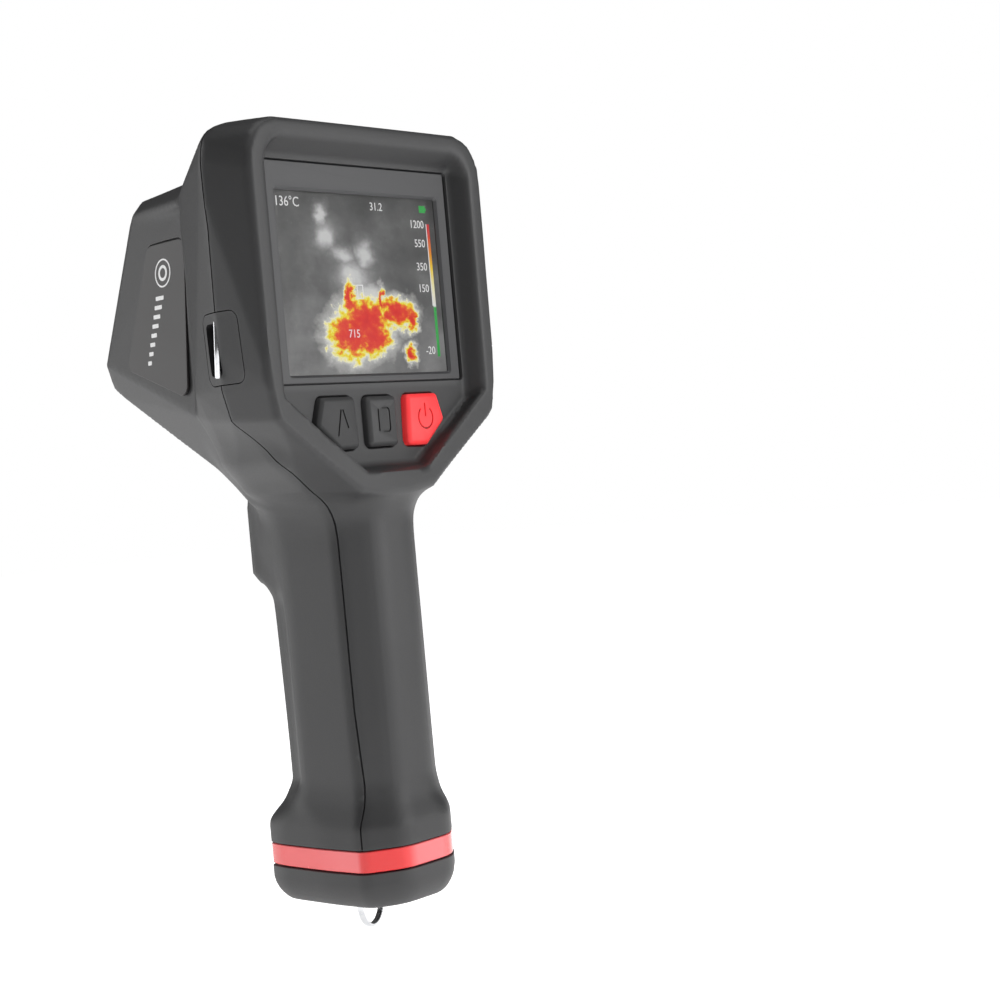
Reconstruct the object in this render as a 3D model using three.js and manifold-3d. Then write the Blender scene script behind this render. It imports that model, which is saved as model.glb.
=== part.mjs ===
// Hand-held thermal imaging camera: head with hood, display and keys at the rear (-Y),
// lens nose at the front (+Y), pistol grip below. Millimetres, +Z up, +X to the user's right.
// Everything is measured from the display datum (the rear face and bottom edge of the display
// bezel, on the middle plane); the whole group is then set so that the origin lies on the flat
// underside of the grip's base.
import * as THREE from "three";
import { ConvexGeometry } from "three/addons/geometries/ConvexGeometry.js";
import * as BufferGeometryUtils from "three/addons/utils/BufferGeometryUtils.js";
import Module from "manifold-3d";

const wasm = await Module();
wasm.setup();

// ---- driving dimensions, mm and degrees ------------------------------------------------------
const GAP = 0.3; // clearance between neighbouring pieces
const WALL = 2.2; // moulded wall
const BASE_Z = -153; // underside of the grip base
const BASE_MOUNT_Y = 9; // where on the underside the origin lies
const RIM_Y = -6; // rear edge of the hood
const BEZEL = { halfWidth: 40, height: 63.2, thick: 1.2 };
const WINDOW = { halfWidth: 35.4, low: 2.4, high: 55.2 };
const SCREEN_MID_Z = 31.6;
const FRONT_TILT = 20.8; // the lens looks this far above the horizontal
const FRONT_CENTRE = [84.9, 35.2]; // y, z of the middle of the nose's front face
const TOP_SLOPE = 24.5; // fall of the roof under the card cover
const TOP_SLOPE_MID = [19.5, 70.25]; // y, z of its middle
const UNDER_SLOPE = 34.1; // rise of the nose's underside
const UNDER_MID = [67, -10.7]; // y, z of the charging contacts on it
const KEY_TRAVEL = 0.8;
const TRIGGER_TRAVEL = 3;
const BAND_TOP = -135.6;
const BAND_LOW = -142;

// Seam between the two shells, as y, z points from the roof to the base.
const SEAM = [[7, 90], [7.4, 75.5], [10, 70.5], [9.4, 45], [12.2, 10], [13.3, 0], [12.4, -10],
  [7.7, -18], [5, -25], [5, -40], [4.6, -95], [3.4, -126], [3.3, -160]];

// ---- materials -------------------------------------------------------------------------------
const paint = (color, roughness, metalness = 0) =>
  new THREE.MeshStandardMaterial({ color, roughness, metalness });
const housingPlastic = paint(0x47474a, 0.55);
const insertPlastic = paint(0x3a3a3c, 0.5);
const darkPlastic = paint(0x1d1d1f, 0.6);
const labelFilm = paint(0x575353, 0.6);
const redPlastic = paint(0xff3b3b, 0.35);
const redTape = paint(0xf96a6a, 0.4);
const keyRubber = paint(0x3c3c3e, 0.6);
const siliconeRubber = paint(0x2a2a2a, 0.8);
const steel = paint(0xc9c9c9, 0.25, 1);
const gold = paint(0xe3c24a, 0.3, 1);
const clearGlass = paint(0x20242a, 0.05);
const lensGlass = paint(0x5b3a86, 0.08);
const boardGreen = paint(0x1f5a35, 0.5);
const alloy = paint(0x9a9da1, 0.4, 1);
const cellWrap = paint(0x2f6fb0, 0.4);
const cardPlastic = paint(0x1b2a55, 0.5);

// ---- solids ----------------------------------------------------------------------------------
function solid(geometry) {
  const bare = geometry.clone();
  bare.deleteAttribute("normal");
  bare.deleteAttribute("uv");
  const merged = BufferGeometryUtils.mergeVertices(bare, 1e-4);
  return new wasm.Manifold(new wasm.Mesh({
    numProp: 3,
    vertProperties: new Float32Array(merged.attributes.position.array),
    triVerts: new Uint32Array(merged.index.array),
  }));
}

function surface(manifold) {
  const mesh = manifold.getMesh();
  const geometry = new THREE.BufferGeometry();
  geometry.setAttribute("position", new THREE.BufferAttribute(mesh.vertProperties, 3));
  geometry.setIndex(new THREE.BufferAttribute(mesh.triVerts, 1));
  geometry.computeVertexNormals();
  return geometry;
}

const join = (...pieces) => pieces.reduce((whole, piece) => whole.add(piece));
const cut = (body, ...tools) => tools.reduce((left, tool) => left.subtract(tool), body);

// Closed outline from corner points; a radius rounds every corner.
function outline(points, radius = 0) {
  const path = new THREE.Shape();
  points.forEach((point, i) => {
    const here = new THREE.Vector2(...point);
    const before = new THREE.Vector2(...points[(i + points.length - 1) % points.length]);
    const after = new THREE.Vector2(...points[(i + 1) % points.length]);
    const entry = here.clone().add(before.sub(here).setLength(radius));
    const exit = here.clone().add(after.sub(here).setLength(radius));
    if (i === 0) path.moveTo(entry.x, entry.y);
    else path.lineTo(entry.x, entry.y);
    if (radius > 0) path.quadraticCurveTo(here.x, here.y, exit.x, exit.y);
  });
  path.closePath();
  return path;
}

// Prism along an axis: outline in (x, z) for y, (y, z) for x and (x, y) for z.
function prism(axis, points, from, to, radius = 0) {
  const geometry = new THREE.ExtrudeGeometry(outline(points, radius), {
    depth: to - from, bevelEnabled: false, curveSegments: 3,
  });
  const matrix = new THREE.Matrix4();
  if (axis === "y") matrix.makeRotationX(Math.PI / 2).setPosition(0, to, 0);
  if (axis === "z") matrix.makeTranslation(0, 0, from);
  if (axis === "x") {
    matrix.makeBasis(new THREE.Vector3(0, 1, 0), new THREE.Vector3(0, 0, 1),
      new THREE.Vector3(1, 0, 0)).setPosition(from, 0, 0);
  }
  return solid(geometry.applyMatrix4(matrix));
}

const rectangle = (x0, x1, z0, z1) => [[x0, z0], [x1, z0], [x1, z1], [x0, z1]];
const block = (x0, x1, y0, y1, z0, z1) => prism("y", rectangle(x0, x1, z0, z1), y0, y1);

// Convex body over points given for +x and mirrored to -x.
function mirroredHull(points) {
  const all = points.flatMap(([x, y, z]) => [new THREE.Vector3(x, y, z), new THREE.Vector3(-x, y, z)]);
  return solid(new ConvexGeometry(all));
}

// Points of a body moved inwards by the wall, towards a middle point.
function inset(points, middle, wall) {
  return points.map((point) => point.map((value, i) =>
    value - Math.sign(value - middle[i]) * Math.min(wall, Math.abs(value - middle[i]))));
}

// Body through sections: each is { z, points } with the same number of +x points (x, y),
// rear first. The sections are mirrored to -x and capped.
function loft(sections) {
  const rings = sections.map(({ z, points }) => [
    ...points.map(([x, y]) => [x, y, z]),
    ...[...points].reverse().map(([x, y]) => [-x, y, z]),
  ]);
  const count = rings[0].length;
  const positions = rings.flat(2);
  const index = [];
  for (let ring = 0; ring + 1 < rings.length; ring += 1) {
    for (let i = 0; i < count; i += 1) {
      const next = (i + 1) % count;
      const [a, b] = [ring * count + i, ring * count + next];
      index.push(a, a + count, b, b, a + count, b + count);
    }
  }
  const cap = (ring, flip) => {
    const flat = rings[ring].map(([x, y]) => new THREE.Vector2(x, y));
    THREE.ShapeUtils.triangulateShape(flat, []).forEach((face) => {
      const [a, b, c] = face.map((i) => ring * count + i);
      index.push(...(flip ? [a, c, b] : [a, b, c]));
    });
  };
  cap(0, false);
  cap(rings.length - 1, true);
  const geometry = new THREE.BufferGeometry();
  geometry.setAttribute("position", new THREE.Float32BufferAttribute(positions, 3));
  geometry.setIndex(index);
  return solid(geometry);
}

// Turned body about the Y axis: points are (radius, y) and close on the axis or on themselves.
function turnedY(points, segments = 24) {
  const profile = points.map(([radius, y]) => new THREE.Vector2(radius, y));
  return solid(new THREE.LatheGeometry(profile, segments));
}
const turnedZ = (points, segments = 24) => turnedY(points, segments).rotate([90, 0, 0]);
const rod = (radius, from, to, segments = 20) =>
  turnedY([[0, from], [radius, from], [radius, to], [0, to]], segments);
const tube = (inner, outer, from, to, segments = 24) =>
  turnedY([[inner, from], [outer, from], [outer, to], [inner, to], [inner, from]], segments);

// ---- scene graph -----------------------------------------------------------------------------
const camera = new THREE.Group();
camera.position.set(0, -BASE_MOUNT_Y, -BASE_Z);

const nose = new THREE.Group(); // +Y along the lens axis, y = 0 on the front face
nose.position.set(0, ...FRONT_CENTRE);
nose.rotation.x = THREE.MathUtils.degToRad(FRONT_TILT);
camera.add(nose);

const roof = new THREE.Group(); // +Z out of the roof slope
roof.position.set(0, ...TOP_SLOPE_MID);
roof.rotation.x = THREE.MathUtils.degToRad(-TOP_SLOPE);
camera.add(roof);

const underside = new THREE.Group(); // -Z out of the nose's underside
underside.position.set(0, ...UNDER_MID);
underside.rotation.x = THREE.MathUtils.degToRad(UNDER_SLOPE);
camera.add(underside);

function part(name, body, material, group = camera) {
  const mesh = new THREE.Mesh(surface(body), material);
  mesh.name = name;
  group.add(mesh);
  return mesh;
}

// A cutting tool built in a group's frame, brought to the datum frame.
function inGroup(body, group) {
  const turn = THREE.MathUtils.radToDeg(group.rotation.x);
  return body.rotate([turn, 0, 0]).translate(group.position.toArray());
}

// ---- outer form ------------------------------------------------------------------------------
const HEAD_POINTS = [
  [42.5, RIM_Y - 0.5, 73.9], [51.6, RIM_Y, 62.5], [50.7, RIM_Y, 0], [48.3, RIM_Y, -10.5],
  [16, RIM_Y, -32], [38, 8, 75.5], [45.5, 9, 74], [53, 10, 69.5], [54.2, 9.4, 52], [51.4, 12.2, 10],
  [50.2, 13.3, 0], [48.3, 12.4, -9], [27, 7, -29], [16, 7, -33], [25, 31, 65], [34, 31, 62.3],
  [42, 31, 58.5], [43, 31, 0], [41.5, 28, -8], [31, 37, 61.5], [36.6, 37.5, 58], [36.6, 37.5, -6],
  [22, 34, -28],
];
const NOSE_POINTS = [
  [31, 14, 62.5], [33.5, 14, 59], [36.4, 14, -6], [17, 14, -31],
  [31, 37, 62.5], [33.5, 37, 59], [36.4, 37.5, -6], [17, 37, -31],
  [21, 69.4, 61.7], [24.8, 70, 57.5], [24.7, 87.6, 13.7], [18.5, 88, 3.5],
  [18.2, 75.3, 58.6], [19.5, 77, 56], [19.5, 92.8, 14.5], [17.9, 92.5, 6.7],
];
const HEAD_MIDDLE = [0, 20, 20];
const NOSE_MIDDLE = [0, 50, 25];

// Half sections of the grip, (x, y) from the rear flat round to the front rib.
const gripSection = (z, rear, seam, side, valley, rib) => ({ z, points: [rear, seam, side, valley, rib] });
const GRIP = [
  gripSection(-20, [13, -4.2], [36, 7], [32, 30], [22, 41], [10, 45]),
  gripSection(-28, [9.5, -3.4], [26.5, 6], [24, 30], [15, 39], [9.4, 43.5]),
  gripSection(-36, [7.6, -2.6], [19.6, 5.3], [18, 30], [12.5, 37], [9, 41.5]),
  gripSection(-46, [7.2, -2.4], [17.9, 5], [15.5, 30.5], [11.5, 36], [9, 41.8]),
  gripSection(-116, [7.2, -2.4], [17.9, 4.6], [14.8, 30.5], [10.2, 33], [8.8, 40.4]),
  gripSection(-122, [7.8, -3], [18.4, 4], [16, 32], [11.8, 35.5], [9.9, 42.5]),
  gripSection(-130, [10, -5.3], [20.8, 3], [19.6, 20], [16.6, 39.5], [13.8, 46.8]),
  gripSection(BAND_TOP, [10, -5.3], [20.8, 3], [19.6, 20], [16.6, 39.5], [13.8, 46.8]),
];
const shrink = (points, wall) => points.map(([x, y]) => [x - wall, y < 10 ? y + wall : y - wall]);
const GRIP_INNER = GRIP.map(({ z, points }, i) => ({
  z: i === GRIP.length - 1 ? z - 1 : z, points: shrink(points, WALL),
}));

const trunk = join(mirroredHull(HEAD_POINTS), mirroredHull(NOSE_POINTS), loft(GRIP));
const triggerBoss = prism("x", [[30, -20], [44, -20], [48.4, -34], [48.4, -54.5], [45.5, -57.5],
  [38, -60], [30, -60]], -10, 10);
const outer = join(trunk, triggerBoss);

// Inside, the head starts behind the well floor and the grip stays open at the bottom.
const FLOOR_BACK = 2.2;
const headRoom = cut(mirroredHull(inset(HEAD_POINTS, HEAD_MIDDLE, WALL)),
  block(-70, 70, -20, FLOOR_BACK, -60, 100));
const inner = join(headRoom, mirroredHull(inset(NOSE_POINTS, NOSE_MIDDLE, WALL)), loft(GRIP_INNER));

// ---- display well and hood -------------------------------------------------------------------
const WELL_MOUTH = [[38.5, 69.8], [45.4, 62.4], [45.3, -3], [13, -26.5]];
const WELL_FLOOR = [[41.8, 64.4], [41.8, -6.7], [15, -24.8]];
const well = mirroredHull([
  ...WELL_MOUTH.map(([x, z]) => [x, RIM_Y - 1, z]),
  ...WELL_FLOOR.map(([x, z]) => [x, 0, z]),
]);
const bezelSeat = block(-BEZEL.halfWidth - GAP, BEZEL.halfWidth + GAP, -0.5, BEZEL.thick + GAP,
  -GAP, BEZEL.height + GAP);
const LCD = { halfWidth: 38, halfHeight: 29.5, from: 2.8, to: 6 };
const screenHole = block(-LCD.halfWidth - GAP, LCD.halfWidth + GAP, 0, 8,
  SCREEN_MID_Z - LCD.halfHeight - GAP, SCREEN_MID_Z + LCD.halfHeight + GAP);

// ---- keys ------------------------------------------------------------------------------------
const OUTER_KEY = [[11.6, -4.2], [25.8, -4.2], [28.6, -12.2], [19.8, -19.6], [10.8, -19.3]];
const MIDDLE_KEY = [[-6.6, -4.4], [6.6, -4.4], [6.6, -19.2], [-6.6, -19.2]];
const flipX = (points) => points.map(([x, z]) => [-x, z]).reverse();
const KEYS = {
  key_menu: { points: flipX(OUTER_KEY), material: keyRubber },
  key_gallery: { points: MIDDLE_KEY, material: keyRubber },
  key_power: { points: OUTER_KEY, material: redPlastic },
};
const KEY_TOP = -2.2;
const KEY_FLANGE = [FLOOR_BACK + GAP, 3.4];

// Outline grown from its middle by a fixed margin.
function grow(points, margin) {
  const midX = points.reduce((sum, p) => sum + p[0], 0) / points.length;
  const midZ = points.reduce((sum, p) => sum + p[1], 0) / points.length;
  return points.map(([x, z]) => [x + Math.sign(x - midX) * margin, z + Math.sign(z - midZ) * margin]);
}
const counterClockwise = (points) =>
  (THREE.ShapeUtils.area(points.map(([x, z]) => new THREE.Vector2(x, z))) < 0 ? [...points].reverse() : points);
const keyHoles = Object.values(KEYS).map(({ points }) =>
  prism("y", counterClockwise(grow(points, GAP)), -1, 5, 1.6));

// ---- side strap slots ------------------------------------------------------------------------
const STRAP = { z0: 3.6, z1: 18.6, y0: 6.2, y1: 18.4, depth: 7, face: 52.5 };
const strapSlot = (side) => {
  const [near, far] = [side * (STRAP.face - STRAP.depth - 2.5), side * 60];
  return prism("x", rectangle(STRAP.y0, STRAP.y1, STRAP.z0, STRAP.z1), Math.min(near, far),
    Math.max(near, far), 2);
};

// Upright bar across each slot; its ends sit in small sockets between the shells.
const BAR = { x: 50.6, y: 11.3, radius: 0.9, end: 1 };
const uprightRod = (radius, from, to, segments) =>
  turnedZ([[0, from], [radius, from], [radius, to], [0, to]], segments);
const barSocket = (side) => uprightRod(BAR.radius + GAP, STRAP.z0 - BAR.end - GAP,
  STRAP.z1 + BAR.end + GAP, 12).translate([side * BAR.x, BAR.y, 0]);

// ---- openings in the shells ------------------------------------------------------------------
const lensHole = inGroup(rod(9.2, -12, 8, 28), nose);
const padSeat = inGroup(prism("y", rectangle(-14.8, 14.8, -15.8, 15.8), -1.2, 6, 3), nose);
const coverSeat = inGroup(join(prism("z", rectangle(-18.3, 18.3, -12.2, 11.8), -2.1, 6, 1.5),
  block(-10.4, 10.4, -13.2, -10, -1.2, 6)), roof);
const cardHole = inGroup(block(-14.5, 14.5, 5, 11, -8, 2), roof);
const contactSeat = inGroup(block(-14.3, 14.3, -7, 7, -6, 1.9), underside);
const contactHole = inGroup(block(-11, 11, -3.6, 3.6, -6, 8), underside);
const triggerHole = block(-7.3, 7.3, 30, 60, -53.6, -27.2);
const LABEL = { mid: [31.6, 55.4, 24.5], halfLength: 15, halfHeight: 23, thick: 0.6 };

// The side panels of the nose, which carry the labels.
const panelNormal = new THREE.Vector3(0.977, 0.198, 0.077).normalize();
const labelFrame = (side) => {
  const normal = new THREE.Vector3(side * panelNormal.x, panelNormal.y, panelNormal.z);
  const up = new THREE.Vector3(0, 0, 1).addScaledVector(normal, -normal.z).normalize();
  const along = new THREE.Vector3().crossVectors(up, normal);
  return new THREE.Matrix4().makeBasis(along, up, normal)
    .setPosition(side * LABEL.mid[0], LABEL.mid[1], LABEL.mid[2]);
};
const LABEL_OUTLINE = [[-15, 22.5], [5.5, 22.5], [18.5, -13.5], [-15, -25]];
function labelBody(side, margin, low, high) {
  const points = LABEL_OUTLINE.map(([along, up]) => [
    side * (along + Math.sign(along) * margin), up + Math.sign(up) * margin]);
  const geometry = new THREE.ExtrudeGeometry(outline(counterClockwise(points), 3), {
    depth: high - low, bevelEnabled: false, curveSegments: 3,
  });
  return solid(geometry.translate(0, 0, low).applyMatrix4(labelFrame(side)));
}

// ---- the two shells --------------------------------------------------------------------------
const seamSide = (sign, shift) => {
  const edge = SEAM.map(([y, z]) => [y + sign * shift, z]);
  const far = sign * 140;
  return prism("x", counterClockwise([...edge, [far, -160], [far, 90]]), -80, 80);
};
let shell = cut(outer, inner, well, bezelSeat, screenHole, ...keyHoles, strapSlot(1), strapSlot(-1),
  barSocket(1), barSocket(-1),
  lensHole, padSeat, coverSeat, cardHole, contactSeat, contactHole, triggerHole,
  labelBody(1, GAP, -0.9, 6), labelBody(-1, GAP, -0.9, 6));
shell = shell.intersect(block(-80, 80, -60, 140, BAND_TOP + GAP, 120));
part("rear_housing", shell.intersect(seamSide(-1, GAP / 2)), housingPlastic);
part("front_housing", shell.intersect(seamSide(1, GAP / 2)), housingPlastic);
part("label_left", labelBody(-1, 0, -0.55, 0.05), labelFilm);
part("label_right", labelBody(1, 0, -0.55, 0.05), labelFilm);

// ---- display and keypad ----------------------------------------------------------------------
const bezelPlate = block(-BEZEL.halfWidth, BEZEL.halfWidth, 0, BEZEL.thick, 0, BEZEL.height);
const windowHole = block(-WINDOW.halfWidth, WINDOW.halfWidth, -1, 3, WINDOW.low, WINDOW.high);
part("display_bezel", cut(bezelPlate, windowHole), insertPlastic);
part("display_window", block(-36.8, 36.8, 1.5, 2.5, 2.2 + GAP, 57), clearGlass);
part("lcd_module", block(-LCD.halfWidth, LCD.halfWidth, LCD.from, LCD.to,
  SCREEN_MID_Z - LCD.halfHeight, SCREEN_MID_Z + LCD.halfHeight), darkPlastic);

Object.entries(KEYS).forEach(([name, { points, material }]) => {
  const cap = prism("y", counterClockwise(points), KEY_TOP, KEY_FLANGE[1], 1.6);
  const flange = prism("y", counterClockwise(grow(points, 1)), ...KEY_FLANGE);
  part(name, join(cap, flange), material);
});
const MAT_Y = KEY_FLANGE[1] + KEY_TRAVEL + 0.1;
part("keypad_mat", block(-30, 30, MAT_Y, MAT_Y + 1.1, -21, -2.6), siliconeRubber);
part("key_board", block(-27, 27, MAT_Y + 1.4, MAT_Y + 2.6, -21, -2.6), boardGreen);

// ---- chassis frame and main board ------------------------------------------------------------
const BOARD_SCREWS = [[-36, 6], [36, 6], [-36, 30], [36, 30]];
const screwHoles = BOARD_SCREWS.map(([x, z]) => rod(1.15, 6, 13, 12).translate([x, 0, z]));
part("chassis_frame", cut(block(-39, 39, 6.9, 9.4, 1.5, 61), block(-28, 28, 5, 11, 38, 57),
  ...screwHoles), alloy);
part("main_board", cut(block(-39, 39, 9.8, 11.4, 1.5, 33.5), ...screwHoles), boardGreen);
BOARD_SCREWS.forEach(([x, z], i) => {
  const screw = join(rod(0.85, 7.4, 12.2, 12), rod(1.9, 11.7, 13.2, 12));
  part(`board_screw_${i + 1}`, screw.translate([x, 0, z]), steel);
});

// ---- lens nose -------------------------------------------------------------------------------
const pad = prism("y", rectangle(-14.5, 14.5, -15.5, 15.5), -0.9, 1.6, 3);
const padCone = turnedY([[0, -8], [5.75, -8], [5.75, -3], [7.5, 1.6], [7.5, 3], [0, 3]], 28);
part("lens_bezel", cut(join(pad, rod(8.9, -4, 1, 28)), padCone), insertPlastic, nose);
part("lens_barrel", cut(join(rod(4, -14, -3, 24), rod(8.6, -9, -7, 24)), rod(2.9, -15, 0, 20)),
  darkPlastic, nose);
part("lens_element", rod(2.75, -5.5, -4.2, 20), lensGlass, nose);
part("lens_seal", tube(6.2, 8, -6.7, -4.4, 20), siliconeRubber, nose);
part("detector_core", block(-9.5, 9.5, -26, -16, -9.5, 9.5), alloy, nose);
part("sensor_board", block(-13, 13, -28, -26.5, -13, 13), boardGreen, nose);
const SHUTTER = { x: 12.5, length: 15.8 };
part("shutter_motor", rod(2.5, -24, -15.9, 14).translate([SHUTTER.x, 0, 0]), darkPlastic, nose);
part("shutter_blade", block(SHUTTER.x - 2.6, SHUTTER.x + 2.6, -15.3, -14.7, -2.6, SHUTTER.length),
  darkPlastic, nose);

// ---- card cover, socket and card -------------------------------------------------------------
const coverPlate = prism("z", rectangle(-18, 18, -11.9, 11.5), -1.8, 0, 1.5);
const fingerLip = prism("z", rectangle(-10, 10, -12.8, -10.4), -0.9, 0.9, 0.8);
part("card_cover", join(coverPlate, fingerLip), insertPlastic, roof);
const CARD_Y = 8;
const socket = cut(block(-14, 14, CARD_Y - 2.4, CARD_Y + 2.4, -30, -9), block(-12.4, 12.4,
  CARD_Y - 1.4, CARD_Y + 1.4, -29, 0));
part("card_socket", socket, alloy, roof);
part("memory_card", block(-12, 12, CARD_Y - 1.05, CARD_Y + 1.05, -28.5, -4), cardPlastic, roof);

// ---- strap bars and cups ---------------------------------------------------------------------
[["left", -1], ["right", 1]].forEach(([name, side]) => {
  const bar = uprightRod(BAR.radius, STRAP.z0 - BAR.end, STRAP.z1 + BAR.end, 12);
  part(`strap_bar_${name}`, bar.translate([side * BAR.x, BAR.y, 0]), steel);
  const [near, far] = [STRAP.face - STRAP.depth - 2.2, STRAP.face - 3.2];
  const [low, high] = side > 0 ? [near, far] : [-far, -near];
  const [hollowLow, hollowHigh] = side > 0 ? [near + 1.2, far + 9] : [-far - 9, -near - 1.2];
  const cup = prism("x", rectangle(STRAP.y0 + GAP, STRAP.y1 - GAP, STRAP.z0 + GAP, STRAP.z1 - GAP),
    low, high, 1.8);
  const hollow = prism("x", rectangle(STRAP.y0 + 1.4, STRAP.y1 - 1.4, STRAP.z0 + 1.4,
    STRAP.z1 - 1.4), hollowLow, hollowHigh, 1);
  const barRoom = block(side * BAR.x - 1.3, side * BAR.x + 1.3, BAR.y - 1.3, BAR.y + 1.3, 0, 24);
  part(`strap_cup_${name}`, cut(cup, hollow, barRoom), darkPlastic);
});

// ---- trigger ---------------------------------------------------------------------------------
part("trigger", prism("x", [[38, -53.3], [47.5, -53.3], [49.6, -51.5], [49.6, -30], [46.5, -27.5],
  [38, -27.5]], -7, 7), keyRubber);
part("trigger_switch", block(-4, 4, 28, 34.6, -44, -34), darkPlastic);
part("trigger_spring", tube(1.4, 2.2, 29, 37.7, 12).translate([0, 0, -49]), steel);

// ---- charging contacts -----------------------------------------------------------------------
const contactPlate = block(-14, 14, -6.7, 6.7, -0.1, 1.6);
const contactPin = (x) => rod(1.9, -0.4, 4, 16).rotate([90, 0, 0]).translate([x, 0, 0]);
const pinRoom = (x) => rod(2.2, -4, 8, 16).rotate([90, 0, 0]).translate([x, 0, 0]);
part("contact_plate", cut(contactPlate, pinRoom(-5), pinRoom(5)), insertPlastic, underside);
part("charge_contact_left", contactPin(-5), gold, underside);
part("charge_contact_right", contactPin(5), gold, underside);

// ---- battery ---------------------------------------------------------------------------------
const CELL = { y: 15.5, radius: 10.5, low: -118, high: -48 };
const upright = (body) => body.rotate([90, 0, 0]).translate([0, CELL.y, 0]);
part("battery_cell", upright(rod(CELL.radius, CELL.low, CELL.high, 24)), cellWrap);
const cradle = cut(upright(rod(12.4, CELL.low, CELL.high, 28)),
  upright(rod(10.9, CELL.low - 1, CELL.high + 1, 28)), block(-20, 20, -10, CELL.y, -130, -40));
part("battery_cradle", cradle, darkPlastic);
part("battery_contact", upright(rod(5, CELL.high + GAP, CELL.high + 1.1, 16)), gold);
part("battery_spring", upright(tube(3, 5, CELL.low - 5, CELL.low - GAP, 16)), steel);

// ---- base: band, cap, lanyard ----------------------------------------------------------------
const BASE = GRIP[GRIP.length - 1].points;
const mirrorRing = (points) => counterClockwise([...points, ...flipX(points)]);
part("signal_band", cut(prism("z", mirrorRing(BASE), BAND_LOW, BAND_TOP),
  prism("z", mirrorRing(shrink(BASE, 3.2)), BAND_LOW - 1, BAND_TOP + 1)), redTape);
const capOuter = loft([
  { z: BASE_Z, points: BASE.map(([x, y]) => [x - 4.2, y < 4 ? y + 3.6 : y - 3.6]) },
  { z: BASE_Z + 5.5, points: BASE },
  { z: BAND_LOW - GAP, points: BASE },
].reverse());
const RING = { y: 20, pinZ: -147.9, pinRadius: 1.1, major: 8, minor: 0.65 };
const ringPocket = block(-11.5, 11.5, RING.y - 3.2, RING.y + 3.2, BASE_Z - 1, -144.8);
const pinHole = rod(RING.pinRadius + 0.1, RING.y - 6, RING.y + 6, 16).translate([0, 0, RING.pinZ]);
part("base_cap", cut(capOuter, ringPocket, pinHole), housingPlastic);
part("lanyard_pin", rod(RING.pinRadius, RING.y - 5.6, RING.y + 5.6, 16).translate([0, 0, RING.pinZ]),
  steel);
const ringDrop = RING.major - RING.minor - RING.pinRadius - 0.1;
const ring = solid(new THREE.TorusGeometry(RING.major, RING.minor, 8, 40)).rotate([90, 0, 0]);
part("lanyard_ring", ring.translate([0, RING.y, RING.pinZ - ringDrop]), steel);

export default camera;
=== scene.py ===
# %% [markdown]
# # A hand-held thermal camera
# The real thing is two moulded shells, a display in a deep hooded well, three keys, a lens in
# a wedge-shaped nose and a grip that ends in a red band and a cap. This script builds the
# surfaces that the eye sees around that frame, one kind of part at a time.

# %% The frame and the tools
import math

import bmesh
import bpy
import numpy as np
import openvdb
from mathutils import Matrix, Vector


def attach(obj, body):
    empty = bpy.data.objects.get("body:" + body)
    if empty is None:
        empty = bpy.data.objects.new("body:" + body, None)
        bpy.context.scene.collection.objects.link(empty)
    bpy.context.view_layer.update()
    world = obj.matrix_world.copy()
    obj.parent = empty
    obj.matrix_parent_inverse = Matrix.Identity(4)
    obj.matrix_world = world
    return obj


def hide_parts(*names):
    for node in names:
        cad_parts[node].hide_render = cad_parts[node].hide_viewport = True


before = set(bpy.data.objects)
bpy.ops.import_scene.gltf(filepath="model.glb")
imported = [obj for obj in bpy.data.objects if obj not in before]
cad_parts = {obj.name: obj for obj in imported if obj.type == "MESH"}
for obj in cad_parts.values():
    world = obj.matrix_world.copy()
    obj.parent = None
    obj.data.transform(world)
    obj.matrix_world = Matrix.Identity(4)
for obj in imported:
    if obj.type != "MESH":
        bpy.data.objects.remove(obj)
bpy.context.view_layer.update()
scene = bpy.context.scene

# %% [markdown]
# Sizes below are millimetres in the display's own frame: y is 0 on the plate round the
# screen and grows towards the lens, z is 0 at that plate's lower edge. Working in one such
# frame keeps every number easy to check with a ruler. At the end a mesh is moved to the row
# frame, whose origin is the underside of the grip, and turned to metres in one step.

# %% Places and frames
MM = 0.001
BASE_MOUNT_Y, BASE_Z = 9.0, -153.0
TO_ROW = Matrix.Scale(MM, 4) @ Matrix.Translation((0, -BASE_MOUNT_Y, -BASE_Z))


def basis(u, v, w, origin=(0, 0, 0)):
    """A frame whose first two axes span a drawing and whose third points out of the surface."""
    matrix = Matrix((u, v, w)).transposed().to_4x4()
    matrix.translation = Vector(origin)
    return matrix


def tilted(u, v, w, degrees, origin):
    turn = Matrix.Rotation(math.radians(degrees), 4, "X")
    return Matrix.Translation(origin) @ turn @ basis(u, v, w)


REAR = basis((1, 0, 0), (0, 0, 1), (0, -1, 0))
TOP = basis((1, 0, 0), (0, 1, 0), (0, 0, 1))
NOSE = tilted((-1, 0, 0), (0, 0, 1), (0, 1, 0), 20.8, (0, 84.9, 35.2))
ROOF = tilted((1, 0, 0), (0, 1, 0), (0, 0, 1), -24.5, (0, 19.5, 70.25))
UNDER = tilted((-1, 0, 0), (0, 1, 0), (0, 0, -1), 34.1, (0, 67, -10.7))
SIDE = {
    1: basis((0, 1, 0), (0, 0, 1), (1, 0, 0)),
    -1: basis((0, -1, 0), (0, 0, 1), (-1, 0, 0)),
}
print("lens axis", [round(c, 3) for c in NOSE.col[2][:3]])

# %% [markdown]
# The camera looks over the user's left shoulder at the display, turned 52 degrees to the
# side and almost level, leaning by five degrees as a held object does. It is made first,
# because every later choice of detail is judged through it.

# %% Camera
VIEW = {"side": -52.24, "height": 0.95, "lean": -5.06, "shift": (-36.76, -34.9, 619.52)}
LENS_MM, SENSOR_MM = 75.8, 36.0


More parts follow.
